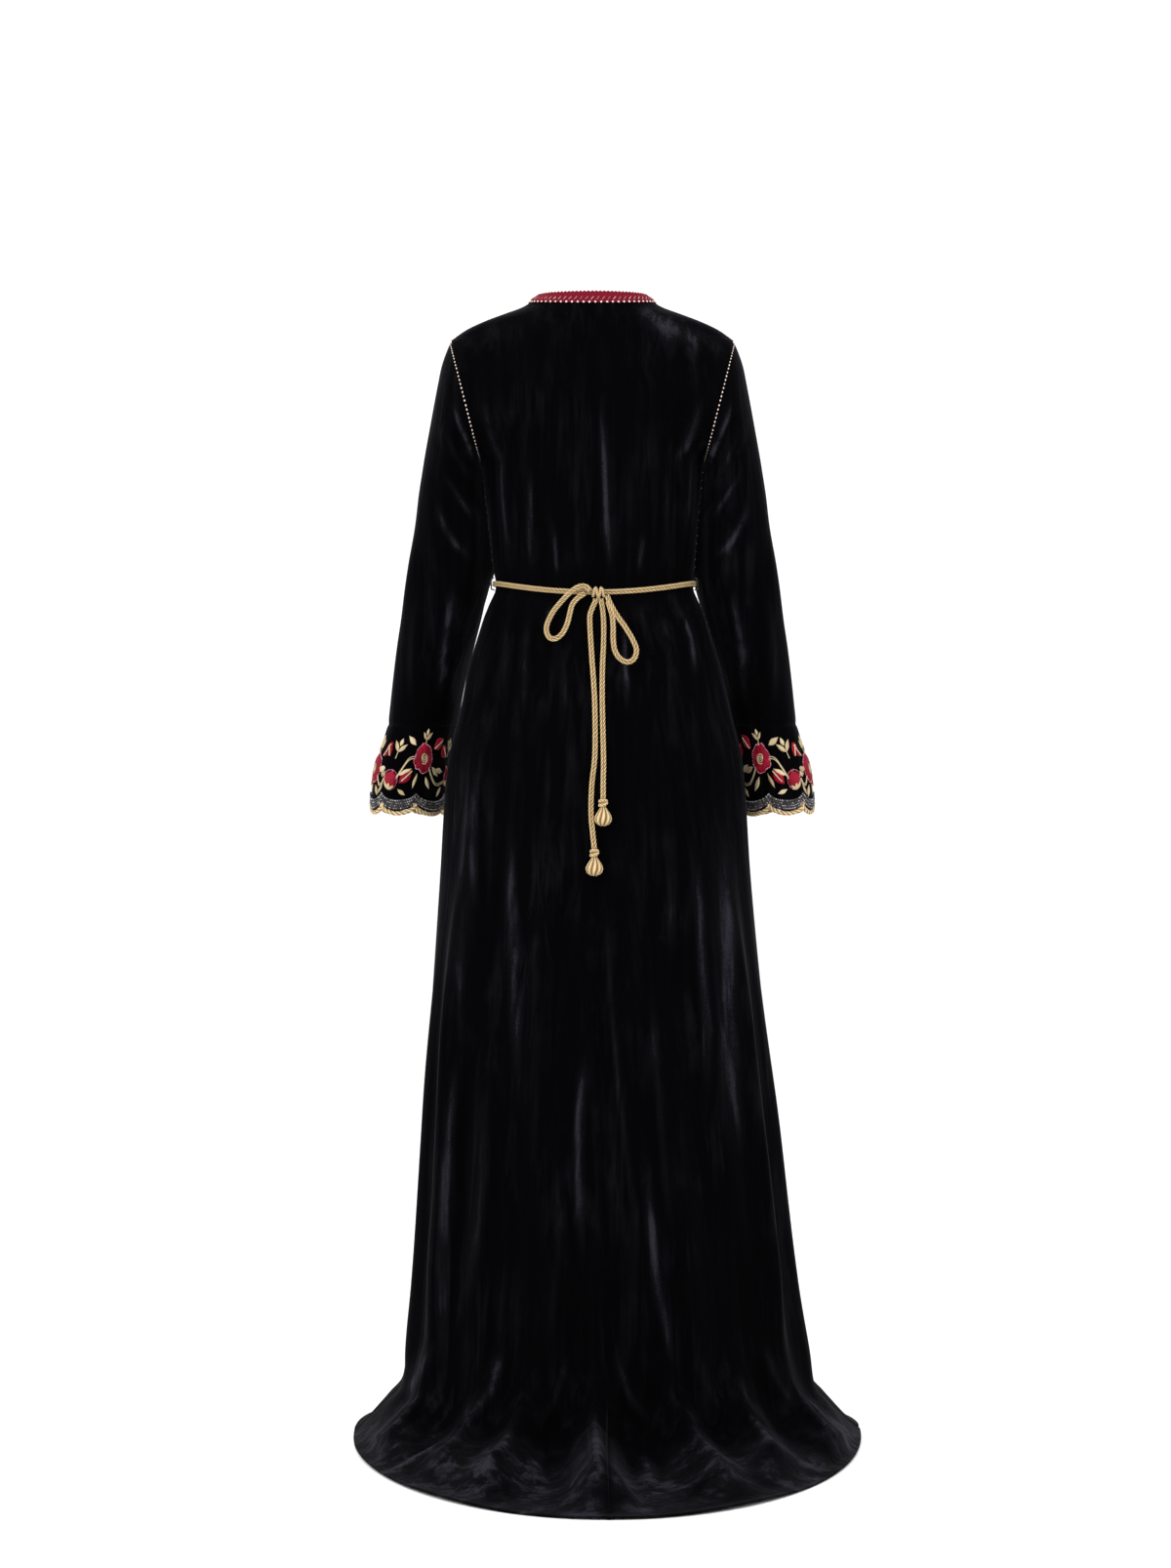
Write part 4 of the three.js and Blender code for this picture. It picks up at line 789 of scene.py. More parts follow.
class Surface(Enum):
    """Every finish of the garment."""

    VELVET = PileVelvet("pile_velvet_black")
    CRIMSON_SILK = StitchedThread("satin_stitch_crimson_silk", "#3A020E", "#900626", "#BC1034",
        thread_mm=1.0, specular=0.15)
    GOLD_THREAD = StitchedThread("satin_stitch_antique_gold", "#4A381E", "#A2865A", "#EADCB8", thread_mm=1.0,
        metallic=0.4, roughness=0.38)
    GOLD_CORD = StitchedThread("twisted_rayon_cord_pale_gold", "#6A4A20", "#BE9C64", "#EFDFB8",
        thread_mm=0.8, metallic=0.1)
    EDGE_CORD = StitchedThread("twisted_metal_thread_cord", "#6E4C22", "#C4A06A", "#F2E0BA", thread_mm=0.8,
        metallic=0.3, roughness=0.38)
    CRIMSON_BRAID = StitchedThread("woven_braid_crimson_rayon", "#24020A", "#74061E", "#9A0E2E",
        thread_mm=1.1, roughness=0.6, sheen=0.03, specular=0.12)
    GARNET_THREAD = StitchedThread("waxed_thread_dark_garnet", "#0C0103", "#240308", "#4A0A14",
        roughness=0.6, specular=0.1)
    SILVER_THREAD = StitchedThread("couched_thread_silver_pink", "#7A1A30", "#C88490", "#F0D2D4",
        thread_mm=0.9, metallic=0.1)
    CREAM_THREAD = StitchedThread("buttonhole_twist_cream", "#B09A88", "#E8D6C8", "#FBF2EA", thread_mm=0.9,
        roughness=0.5)
    DARK_THREAD = StitchedThread("worked_loop_dark_thread", "#0C0B0D", "#2A282B", "#6A676A", thread_mm=0.8,
        roughness=0.55)
    GREY_BEAD = CutBead("cut_steel_bead_dark_grey", "#141214", "#454143", "#AEAAAC")
    ROSE_BEAD = CutBead("pearl_bead_rose", "#7A1030", "#D05070", "#F4C4CC", metallic=0.25, roughness=0.34)


# ---- meshes


@dataclass
class Pile:
    """Points, faces, UVs and tones of many small shapes that become one piece."""

    points: list[Array] = field(default_factory=list)
    faces: list[Array] = field(default_factory=list)
    uvs: list[Array] = field(default_factory=list)
    tones: list[Array] = field(default_factory=list)
    count: int = 0

    def add(self, points: Array, faces: Iterable[Array], uvs: Array | None = None, tone: Array | float = 0.4,
            flip: bool = False) -> None:
        """Add one shape.

        Args:
            points: Its points in millimetres.
            faces: Arrays of faces, one array for each number of corners.
            uvs: A UV for each point.
            tone: How light it is, from 0 to 1, all over or at each point.
            flip: Whether its faces are turned over.
        """
        shape = np.asarray(points).shape[:-1]
        self.tones.append(np.broadcast_to(np.asarray(tone, float), shape).ravel())
        points = np.asarray(points, float).reshape(-1, 3)
        for group in faces:
            group = np.asarray(group) + self.count
            self.faces.append(group[:, ::-1] if flip else group)
        self.points.append(points)
        self.uvs.append(np.zeros((len(points), 2)) if uvs is None else np.asarray(uvs, float).reshape(-1, 2))
        self.count += len(points)

    def add_padded(self, over: Array, under: Array, uvs: Array, tone: float, flip: bool) -> None:
        """Add a padded shape.

        Args:
            over: A grid of its upper side.
            under: The same grid on its underside.
            uvs: A UV for each point of one side.
            tone: How light it is.
            flip: Whether its faces are turned over.
        """
        rim = np.concatenate([over, under[:, ::-1]], axis=1)
        self.add(rim, tube_faces(*rim.shape[:2]), np.concatenate([uvs, uvs[:, ::-1]], axis=1), tone, flip)

    def build(self, name: str, material: bpy.types.Material) -> bpy.types.Object:
        """Make the piece.

        Args:
            name: Its name.
            material: Its finish.

        Returns:
            The object, at the origin.
        """
        points = to_frame(np.vstack(self.points))
        faces = [row for group in self.faces for row in group.tolist()]
        mesh = bpy.data.meshes.new(name)
        mesh.from_pydata(points.tolist(), [], faces)
        corners = np.empty(len(mesh.loops), np.int32)
        mesh.loops.foreach_get("vertex_index", corners)
        layer = mesh.uv_layers.new(name="UVMap")
        layer.data.foreach_set("uv", np.vstack(self.uvs)[corners].ravel())
        tone = mesh.attributes.new("tone", "FLOAT", "POINT")
        tone.data.foreach_set("value", np.concatenate(self.tones))
        mesh.polygons.foreach_set("use_smooth", np.ones(len(mesh.polygons), bool))
        mesh.materials.append(material)
        mesh.update()
        piece = bpy.data.objects.new(name, mesh)
        bpy.context.scene.collection.objects.link(piece)
        return piece


def grid_faces(rows: int, columns: int, closed: bool = False) -> Array:
    """Return the four-cornered faces of a grid of points, joined round where it is closed."""
    i, j = np.meshgrid(np.arange(rows - 1), np.arange(columns if closed else columns - 1), indexing="ij")
    k = (j + 1) % columns
    corners = [i * columns + j, (i + 1) * columns + j, (i + 1) * columns + k, i * columns + k]
    return np.stack([c.ravel() for c in corners], axis=1)


def tube_faces(rows: int, columns: int) -> list[Array]:
    """Return the faces of a tube of points, closed round and capped at both ends."""
    caps = np.stack([np.arange(columns), (rows - 1) * columns + np.arange(columns)[::-1]])
    return [grid_faces(rows, columns, True), caps]


def grid_normals(points: Array, closed: bool = False, middle: Array | None = None) -> Array:
    """Find the outward direction at each point of a grid, square to its rows and columns.

    Args:
        points: The grid.
        closed: Whether each row joins its own start.
        middle: A place inside for each row, where that isn't the row's own middle.

    Returns:
        The directions.
    """
    around = np.roll(points, -1, axis=1) - np.roll(points, 1, axis=1) if closed else np.gradient(points, axis=1)
    outward = unit(np.cross(np.gradient(points, axis=0), around))
    middle = points.mean(axis=1, keepdims=True) if middle is None else middle
    return outward * np.sign(np.sum(outward * (points - middle)))


def finish_wall(piece: bpy.types.Object, outward: bool) -> None:
    """Give an open sheet its thickness behind its outer side.

    Args:
        piece: The sheet.
        outward: Whether its faces already point out of the garment.
    """
    for other in bpy.context.selected_objects:
        other.select_set(False)
    bpy.context.view_layer.objects.active = piece
    piece.select_set(True)
    if not outward:
        bpy.ops.object.mode_set(mode="EDIT")
        bpy.ops.mesh.select_all(action="SELECT")
        bpy.ops.mesh.flip_normals()
        bpy.ops.object.mode_set(mode="OBJECT")
    wall = piece.modifiers.new("wall", "SOLIDIFY")
    wall.thickness = WALL * MM
    wall.offset = -1
    wall.use_even_offset = False
    bpy.ops.object.modifier_apply(modifier=wall.name)
    piece.select_set(False)


def sew_cloth(name: str, material: bpy.types.Material, grid: Grid, closed: bool) -> bpy.types.Object:
    """Make a cloth piece with its thickness behind its outer side.

    Args:
        name: Its name.
        material: Its finish.
        grid: Its outer side's points, their outward directions, their UVs and how much painted sheen their
            pile's colour carries.
        closed: Whether it is a tube.

    Returns:
        The piece.
    """
    points, outward, uvs, bloom = grid
    pile = Pile()
    pile.add(points, [grid_faces(*points.shape[:2], closed)], uvs, bloom)
    piece = pile.build(name, material)
    first = unit(np.cross(points[1, 0] - points[0, 0], points[1, 1] - points[1, 0]))
    finish_wall(piece, float(first @ outward[0, 0]) > 0)
    return piece


@dataclass
class Ground:
    """A stretch of cloth that trims are placed on by their distance along it and across it."""

    points: Array
    along: Array
    across: Array
    outward: Array
    closed: bool = False

    def handed(self) -> float:
        """Return 1 where along, across and outward make a right-handed set, and else -1."""
        around, down = np.gradient(self.points, axis=1), np.gradient(self.points, axis=0)
        return float(np.sign(np.sum(np.cross(around, down) * self.outward)))

    def place(self, along: Array, across: Array, lift: Array = 0.0) -> tuple[Array, Array]:
        """Find places on the cloth.

        Args:
            along: Distances along the stretch.
            across: Distances across it.
            lift: How far out of the cloth they are.

        Returns:
            The points and the outward directions there.
        """
        along, across, lift = np.broadcast_arrays(
            np.asarray(along, float), np.asarray(across, float), np.asarray(lift, float))
        if self.closed:
            along = np.mod(along, self.along[-1])
        column = np.interp(along, self.along, np.arange(len(self.along)))
        row = np.interp(across, self.across, np.arange(len(self.across)))
        i = np.minimum(row.astype(int), len(self.across) - 2)
        j = np.minimum(column.astype(int), len(self.along) - 2)
        s, t = (column - j)[..., None], (row - i)[..., None]

        def mix(grid: Array) -> Array:
            """Blend a grid's four nearest values."""
            upper = grid[i, j] * (1 - s) + grid[i, j + 1] * s
            lower = grid[i + 1, j] * (1 - s) + grid[i + 1, j + 1] * s
            return upper * (1 - t) + lower * t

        outward = unit(mix(self.outward))
        return mix(self.points) + outward * lift[..., None], outward

    def axes(self, along: Array, across: Array) -> tuple[Array, Array, Array]:
        """Return the place, the direction along the cloth and the outward direction."""
        point, outward = self.place(along, across)
        ahead, _ = self.place(np.asarray(along, float) + 0.5, across)
        behind, _ = self.place(np.asarray(along, float) - 0.5, across)
        forward = unit(ahead - behind)
        return point, forward, outward


def bead_shape() -> tuple[Array, list[Array]]:
    """Model one bead as a slightly flattened faceted ball, 1 across.

    Returns:
        Its points and its faces.
    """
    bpy.ops.object.select_all(action="DESELECT")
    bpy.ops.mesh.primitive_uv_sphere_add(segments=6, ring_count=4, radius=0.5, location=(0, 0, 0))
    ball = bpy.context.active_object
    bpy.ops.object.mode_set(mode="EDIT")
    bpy.ops.mesh.select_all(action="SELECT")
    bpy.ops.transform.resize(value=(1, 1, 0.86))
    bpy.ops.object.mode_set(mode="OBJECT")
    points = np.array([v.co[:] for v in ball.data.vertices])
    faces = [list(p.vertices) for p in ball.data.polygons]
    shapes = [np.array([f for f in faces if len(f) == n]) for n in (3, 4)]
    mesh = ball.data
    bpy.data.objects.remove(ball)
    bpy.data.meshes.remove(mesh)
    return points, shapes


def set_shape(pile: Pile, shape: tuple[Array, list[Array]], places: tuple[Array, Array, Array],
              size: tuple[float, float, float], lift: float, tones: Array, lean: Array | float = 0.0) -> None:
    """Set copies of a small shape on the cloth.

    Args:
        pile: Where the copies go.
        shape: The shape's points and faces, 1 across.
        places: Points, directions along the cloth and outward directions, one for each copy.
        size: The copy's length along the cloth, its width and its height.
        lift: How far its middle stands out of the cloth.
        tones: How light each copy is.
        lean: How far each copy is turned on the cloth, in radians.
    """
    points, faces = shape
    origin, forward, outward = (np.atleast_2d(a) for a in places)
    sideways = unit(np.cross(outward, forward))
    forward = np.cross(sideways, outward)
    lean = np.broadcast_to(np.asarray(lean, float), (len(origin),))
    cosine, sine = np.cos(lean)[:, None], np.sin(lean)[:, None]
    along, beside = forward * cosine + sideways * sine, sideways * cosine - forward * sine
    for k in range(len(origin)):
        local = points * size
        placed = origin[k] + outward[k] * lift + local[:, :1] * along[k] + local[:, 1:2] * beside[k]
        pile.add(placed + local[:, 2:] * outward[k], faces, points[:, :2] * size[0], float(tones[k]))


def sweep(pile: Pile, line: Array, out: Array, radius: Array, sides: int, closed: bool, tone: float,
          crest: float = 0.0) -> None:
    """Sweep a round thread along a line.

    Args:
        pile: Where it goes.
        line: The thread's middle.
        out: A direction at each point, roughly square to the line.
        radius: The thread's radius, one value or one for each point.
        sides: How many sides it has.
        closed: Whether it joins its own start.
        tone: How light it is.
        crest: How much painted highlight it carries on the side that the direction points to.
    """
    tangent = tangents(line, closed)
    first = square_to(out, tangent)
    second = np.cross(tangent, first)
    turn = 2 * np.pi * np.arange(sides) / sides
    radius = np.broadcast_to(np.asarray(radius, float), (len(line),))
    ring = first[:, None] * np.cos(turn)[None, :, None] + second[:, None] * np.sin(turn)[None, :, None]
    points = line[:, None] + ring * radius[:, None, None]
    run = run_length(line)
    around = np.abs(1 - 2 * np.arange(sides) / sides)
    uvs = np.stack(np.broadcast_arrays(run[:, None], around[None] * 3), axis=-1)
    rows = len(line)
    if closed:
        faces = [grid_faces(rows, sides, True)]
        i = np.arange(sides)
        k = (i + 1) % sides
        faces.append(np.stack([(rows - 1) * sides + i, i, k, (rows - 1) * sides + k], axis=1))
    else:
        faces = tube_faces(rows, sides)
    # Painted highlight on the side that faces out, fading to the base tone, so the rest reads as painted shade.
    tones = tone + crest * np.maximum(np.cos(turn), 0) ** 4 + 0 * run[:, None]
    pile.add(points, faces, uvs, tones, flip=True)


@dataclass(frozen=True)
class Rope:
    """A round cord of plies laid round each other. One turn is two thirds longer than the real one, so that the
    twist shows. Fullness is how far the plies sink into each other. Crest is painted light and shade: each ply
    is painted darker in the grooves between plies and lighter on its crest."""

    thick: float = 3.7
    plies: int = 3
    lay: float = 17.0
    steps_a_turn: int = 12
    sides: int = 6
    crest: float = 0.8
    fullness: float = 1.32

    def lay_along(self, pile: Pile, line: Array, out: Array, offset: float, closed: bool, start: float,
                  tone: float = 0.42) -> None:
        """Lay the cord beside a line.

        Args:
            pile: Where it goes.
            line: The line, of evenly spaced points.
            out: The direction out of the cloth at each point.
            offset: How far to the side of the line it runs, across the cloth.
            closed: Whether it joins its own start.
            start: The turn that it starts with, in radians.
            tone: How light it is.
        """
        tangent = tangents(line, closed)
        out = square_to(out, tangent)
        beside = np.cross(tangent, out)
        centre = line + beside * offset
        run = run_length(centre)
        total = run[-1] + (np.linalg.norm(centre[0] - centre[-1]) if closed else 0)
        lay = total / max(round(total / self.lay), 1) if closed else self.lay
        radius = self.thick / (2 + 2 / math.sin(math.pi / self.plies)) * self.fullness
        orbit = self.thick / 2 - radius
        for ply in range(self.plies):
            turn = start + 2 * np.pi * (run / lay + ply / self.plies)
            radial = out * np.cos(turn)[:, None] + beside * np.sin(turn)[:, None]
            # Painted shade in the grooves: each ply starts darker than the cord's tone, and sweep paints its
            # crest lighter.
            shade = tone - self.crest / 2 + 0.03 * (ply - 1)
            sweep(pile, centre + radial * orbit, radial, radius, self.sides, closed, shade, self.crest)

    def stations(self, length: float) -> int:
        """Return how many points a line of that length needs."""
        return max(int(length / self.lay * self.steps_a_turn), 8)


def ride_on_garment(piece: bpy.types.Object, slot: str, *nodes: str) -> bpy.types.Object:
    """Fix a piece to the garment and hide the nodes that it stands for.

    Args:
        piece: The piece.
        slot: Not used.
        nodes: The nodes that it replaces.

    Returns:
        The piece.
    """
    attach(piece, "root")
    if nodes:
        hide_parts(*nodes)
    log.info("%s: %d faces", piece.name, len(piece.data.polygons))
    return piece


@dataclass
class Wardrobe:
    """Builds each finish when it is first asked for, and dresses pieces in it."""

    built: dict[Surface, bpy.types.Material] = field(default_factory=dict)

    def take(self, surface: Surface) -> bpy.types.Material:
        """Return a finish's material."""
        if surface not in self.built:
            self.built[surface] = surface.value.build()
        return self.built[surface]

    def sew(self, name: str, grid: Grid, closed: bool, slot: str, node: str) -> bpy.types.Object:
        """Make a velvet piece from a grid and fix it to the garment in place of a node."""
        return ride_on_garment(sew_cloth(name, self.take(Surface.VELVET), grid, closed), slot, node)

    def dress(self, pile: Pile, name: str, surface: Surface, slot: str, *nodes: str) -> bpy.types.Object:
        """Make a pile's piece in a finish, and fix it to the garment in place of the nodes."""
        return ride_on_garment(pile.build(name, self.take(surface)), slot, *nodes)


# ---- the panels


@dataclass
class Panels:
    """The four panels of the body, from the neckline to the hem."""

    wardrobe: Wardrobe
    back_columns: int = 124
    front_columns: int = 66
    yoke_rows: int = 54
    skirt_rows: int = 196
    train_sheen: float = 0.75
    edge_crowding: float = 0.6
    seam_press: float = 1.3
    seam_half: float = 2.6
    hem_turn: float = 13.0
    belt_press: float = 0.9
    back_flat: tuple[float, float] = (0.78, 1.88)
    back_area: float = 0.56
    front_flat: tuple[float, float] = (0.58, 1.80)
    front_area: float = 0.47

    def grid(self, is_back: bool, side: int) -> Grid:
        """Work out one panel's outer side.

        Args:
            is_back: Whether it is a back panel.
            side: LEFT or RIGHT.

        Returns:
            Its points, its outward directions, each point's UV in millimetres, and how much painted sheen its
            pile's colour carries.
        """
        columns = self.back_columns if is_back else self.front_columns
        t = np.linspace(0, 1, columns + 1)
        u = t - self.edge_crowding * np.sin(2 * np.pi * t) / (2 * np.pi)
        levels = np.concatenate([
            np.linspace(-1, 0, self.yoke_rows, endpoint=False), np.linspace(0, HEM, self.skirt_rows)])
        level, share = np.meshgrid(levels, u, indexing="ij")
        angle = side * (share * 90 if is_back else 180 - share * 90)
        points = surface(level, angle, is_back)
        outward = grid_normals(points, middle=points.mean(axis=1, keepdims=True) * (0, 0, 1))
        steps = np.linalg.norm(np.diff(points, axis=1, prepend=points[:, :1]), axis=2)
        from_centre = np.cumsum(steps, axis=1)
        from_side = from_centre[:, -1:] - from_centre
        creases = [*BACK_CREASES, *ridge_creases(5.0, 5.5)] if is_back else FRONT_CREASES
        relief, bloom = lay_creases(creases, points)
        # Painted sheen in soft patches on the part of the train that lies on the floor.
        bloom = bloom + self.train_sheen * self.train_sheen_patches(points) * smoothstep(level, 1320, 1450)
        relief = relief + self.drift(level, angle)
        below_belt = UNDERARM - level - belt_height(angle)
        near_belt = np.where(level > 0, bell(below_belt, 7.0), 0)
        relief = relief * (1 - near_belt) - self.belt_press * near_belt
        edge = smoothstep(np.minimum(from_centre, from_side), 0, 14)
        at_neck = smoothstep(level, -0.93, -0.80)
        relief = relief * edge * at_neck
        closed_front = np.ones_like(level) if is_back else smoothstep(level, 30, 90)
        press = bell(from_centre, self.seam_half) * closed_front + bell(from_side, self.seam_half) * at_neck
        relief = relief - self.seam_press * press
        relief = relief + 1.2 * smoothstep(level, HEM - self.hem_turn - 3, HEM - self.hem_turn)
        points = points + outward * relief[..., None]
        points[..., 2] = np.maximum(points[..., 2], FLOOR_CLEARANCE)
        return points, outward, np.stack([from_centre, level], axis=-1), bloom * edge

    def train_sheen_patches(self, points: Array) -> Array:
        """Return where the train's colour carries painted sheen, in soft patches."""
        x, y = points[..., 0], points[..., 1]
        return 0.5 + 0.5 * np.sin(x / 19 + 2.2 * np.sin(y / 31)) * np.sin(y / 24 + 1.7 * np.sin(x / 37 + 1))

    def drift(self, level: Array, angle: Array) -> Array:
        """Return the slow unevenness of hanging cloth."""
        turn = np.radians(angle)
        wave = np.sin(5 * turn + level / 170 + 0.7) * np.sin(level / 230 + 1.1)
        return (wave + 0.6 * np.sin(11 * turn - level / 120 + 2.0)) * 1.3 * smoothstep(level, 150, 500)

    def build(self) -> None:
        for is_back, word, flat, area in (
            (True, "back", self.back_flat, self.back_area), (False, "front", self.front_flat, self.front_area),
        ):
            for side, side_word in SIDE_WORDS.items():
                node = f"{word}_{side_word}"
                piece = self.wardrobe.sew(f"velvet_{node}", self.grid(is_back, side), False, "velvet", node)


# ---- sleeves and cuffs


@dataclass
class Sleeves:
    """Two bell sleeves with an underarm seam each, that lie against the body down to the waist."""

    wardrobe: Wardrobe
    press_at: tuple[float, ...] = (0, 1, 2, 3, 4, 4.7, 5.4, 6)
    press_out: tuple[float, ...] = (0, 5, 7, 9, 12, 13, 4, 0)
    press_angle: float = 197.0
    armhole_turning: float = 3.0
    rows: int = 98
    columns: int = 104
    seam_press: float = 1.2
    flat: tuple[float, float] = (0.50, 0.545)
    area: float = 0.185

    def grid(self, side: int) -> Grid:
        """Return a sleeve's outer points, its outward directions, each point's UV and the painted sheen on its
        pile.
        """
        at, phi = np.meshgrid(
            np.linspace(0, 9, self.rows), 360 * np.arange(self.columns) / self.columns, indexing="ij")
        points = tube_point(SLEEVE, SLEEVE_FOLDS, side, at, phi)
        outward = grid_normals(points, True)
        mirrored = points * (side, 1, 1)
        behind = smoothstep(np.sin(np.radians(phi)), -0.1, 0.25)
        before = smoothstep(-np.sin(np.radians(phi)), -0.1, 0.25)
        back_lift, back_bloom = lay_creases(SLEEVE_BACK_CREASES, mirrored)
        front_lift, front_bloom = lay_creases(SLEEVE_FRONT_CREASES, mirrored)
        relief = behind * back_lift + before * front_lift
        relief = relief * smoothstep(at, 0, 0.6) * (1 - smoothstep(at, 8.6, 9))
        relief = relief + np.interp(at, self.press_at, self.press_out) * bell(phi - self.press_angle, 20)
        ends = bell(at, 0.10) + bell(9 - at, 0.05)
        points = points + outward * (relief - self.seam_press * ends)[..., None]
        points[0, :, 0] -= side * self.armhole_turning
        steps = np.linalg.norm(np.diff(points, axis=1, prepend=points[:, :1]), axis=2)
        bloom = behind * back_bloom + before * front_bloom
        return points, outward, np.stack([np.cumsum(steps, axis=1), at * 58], axis=-1), bloom

    def build(self) -> None:
        """Build and dress both sleeves."""
        for side, word in SIDE_WORDS.items():
            node = f"sleeve_{word}"
            piece = self.wardrobe.sew(f"velvet_{node}", self.grid(side), True, "velvet", node)


@dataclass
class Cuff:
    """One flared cuff with its embroidery, beaded braid and gold edge cord."""

    wardrobe: Wardrobe
    bead: tuple[Array, list[Array]]
    side: int
    columns: int = 208
    rows: int = 34
    tall: float = 112.0
    flat: tuple[float, float] = (0.46, 0.122)
    area: float = 0.053
    braid_top: float = 0.862
    braid_foot: float = 0.985
    braid_rows: int = 4
    cord: Rope = Rope(thick=6.4, lay=19.5, steps_a_turn=16, fullness=1.4)
    silk: Pile = field(default_factory=Pile)
    gold: Pile = field(default_factory=Pile)
    beads: Pile = field(default_factory=Pile)
    ground: Ground = field(init=False)
    rng: np.random.Generator = field(init=False)

    def __post_init__(self) -> None:
        """Lay out the cloth that the trims stand on."""
        self.ground = self.lay_ground()
        self.rng = np.random.default_rng(31 if self.side == LEFT else 32)

    def angles(self, round_share: Array) -> Array:
        """Return the angle round the cuff at equal shares of its length."""
        half = (CUFF.rows[-1][1] - CUFF.rows[-1][3]) / 2
        fine = 2 * np.pi * (np.arange(1440) + 0.5) / 1440
        steps = np.hypot(half * np.sin(fine), CUFF.rows[-1][7] * np.cos(fine))
        length = np.concatenate([[0.0], np.cumsum(steps)])
        return np.interp(np.asarray(round_share) * length[-1], length, np.linspace(0, 360, 1441))

    def cloth(self, round_share: Array, down: Array, padded: bool = True) -> Array:
        """Return points of the cuff at shares round it and down it."""
        phi = self.angles(round_share)
        last = len(CUFF.rows) - 1
        drop = (tube_point(CUFF, (), self.side, 0, phi) - tube_point(CUFF, (), self.side, last, phi))[..., 2]
        goal = last * down * (1 + (SCALLOP_DEPTH * SCALLOP_BELOW - scallop_rise(round_share)) / drop)
        at = np.minimum(goal, last)
        points = tube_point(CUFF, (), self.side, at, phi)
        points[..., 2] -= (goal - at) * drop / last
        if padded:
            middle = points.mean(axis=1, keepdims=True)
            outward = unit((points - middle) * (1, 0.6, 0.1))
            pad = flower_rise(round_share, down) * (down > 0.01) * (down < 0.8)
            points = points + outward * pad[..., None]
        return points

    def lay_ground(self) -> Ground:
        """Return the cuff as a ground for its trims, measured in millimetres."""
        share, down = np.meshgrid(np.linspace(0, 1, 361), np.linspace(0, 1, 61))
        points = self.cloth(share, down)
        outward = grid_normals(points)
        return Ground(points, run_length(points[30]), np.linspace(0, 1, 61) * self.tall, outward, True)

    def build(self) -> None:
        """Build the cuff and everything on it."""
        word = SIDE_WORDS[self.side]
        share, down = np.meshgrid(np.arange(self.columns) / self.columns, np.linspace(0, 1, self.rows))
        points = self.cloth(share, down)
        points[0] += (0, 0, -SEAM_GAP / 2)
        outward = grid_normals(points, True)
        press = 1.0 * bell(down * self.tall, 2.5)
        points = points - outward * press[..., None]
        uvs = np.stack([share * self.ground.along[-1], down * self.tall], axis=-1)
        node, grid = f"cuff_{word}", (points, outward, uvs, 0.0)
        piece = self.wardrobe.sew(f"velvet_{node}", grid, True, "embroidered_velvet", node)
        self.build_braid(word)
        self.build_edge_cord(word)
        self.build_embroidery(word)

    def build_braid(self, word: str) -> None:
        """Build the beaded braid: a dark tape with rows of cut beads that follow the scallops."""
        turn = self.ground.along[-1]
        along = np.linspace(0, turn, 361)[:-1]
        across = np.linspace(self.braid_top, self.braid_foot, 7) * self.tall
        s, t = np.meshgrid(along, across)
        crown = 1.5 - 0.9 * (2 * np.linspace(0, 1, 7)[:, None] - 1) ** 2 + 0 * s
        points, _ = self.ground.place(s, t, crown)
        under, _ = self.ground.place(s, t, 0.3)
        pile = Pile()
        grid = np.vstack([points, under[::-1], points[:1]])
        flat = np.stack([s, t], axis=-1)
        uvs = np.vstack([flat, flat[::-1], flat[:1]])
        pile.add(grid, [grid_faces(len(grid), len(along), True)], uvs, 0.3, self.ground.handed() > 0)
        self.wardrobe.dress(pile, f"braid_tape_{word}", Surface.DARK_THREAD, "bead_braid", f"cuff_braid_{word}")
        beads = Pile()
        rows = np.linspace(self.braid_top + 0.014, self.braid_foot - 0.012, self.braid_rows) * self.tall
        for k, row in enumerate(rows):
            count = int(turn / 2.9)
            spots = (np.arange(count) + 0.5 * (k % 2)) * turn / count
            places = self.ground.axes(spots, np.full(count, row))
            tones = self.rng.uniform(0.15, 0.75, count) + 0.12 * (k in (0, self.braid_rows - 1))
            set_shape(beads, self.bead, places, (2.9, 2.5, 2.3), 1.9, tones, 0.5 if k % 2 else -0.5)
        self.wardrobe.dress(beads, f"braid_beads_{word}", Surface.GREY_BEAD, "bead_braid")

    def build_edge_cord(self, word: str) -> None:
        """Build the gold cord under the scalloped edge."""
        share = np.linspace(0, 1, 1201)[:-1]
        outer = self.cloth(share[None], np.ones((1, 1200)), False)[0]
        middle = outer.mean(axis=0)
        outward = unit((outer - middle) * (1 / 54**2, 1 / 80**2, 0))
        ahead = np.roll(outer, -1, axis=0) - np.roll(outer, 1, axis=0)
        below = unit(np.cross(ahead, outward))
        below *= np.where(below[:, 2:] > 0, -1, 1)
        line = outer - outward * WALL / 2 + below * (self.cord.thick / 2 + 0.3)
        for _ in range(10):
            line = (line + np.roll(line, 1, axis=0) + np.roll(line, -1, axis=0)) / 3
        run = run_length(line)
        goal = np.linspace(0, run[-1] * 1199 / 1200, self.cord.stations(girth(line)))
        even, out = resample(goal, run, line), resample(goal, run, outward)
        pile = Pile()
        self.cord.lay_along(pile, even, out, 0.0, True, 0.0, 0.45)
        self.wardrobe.dress(pile, f"edge_cord_{word}", Surface.EDGE_CORD, "gold_cord", f"cuff_cord_{word}")

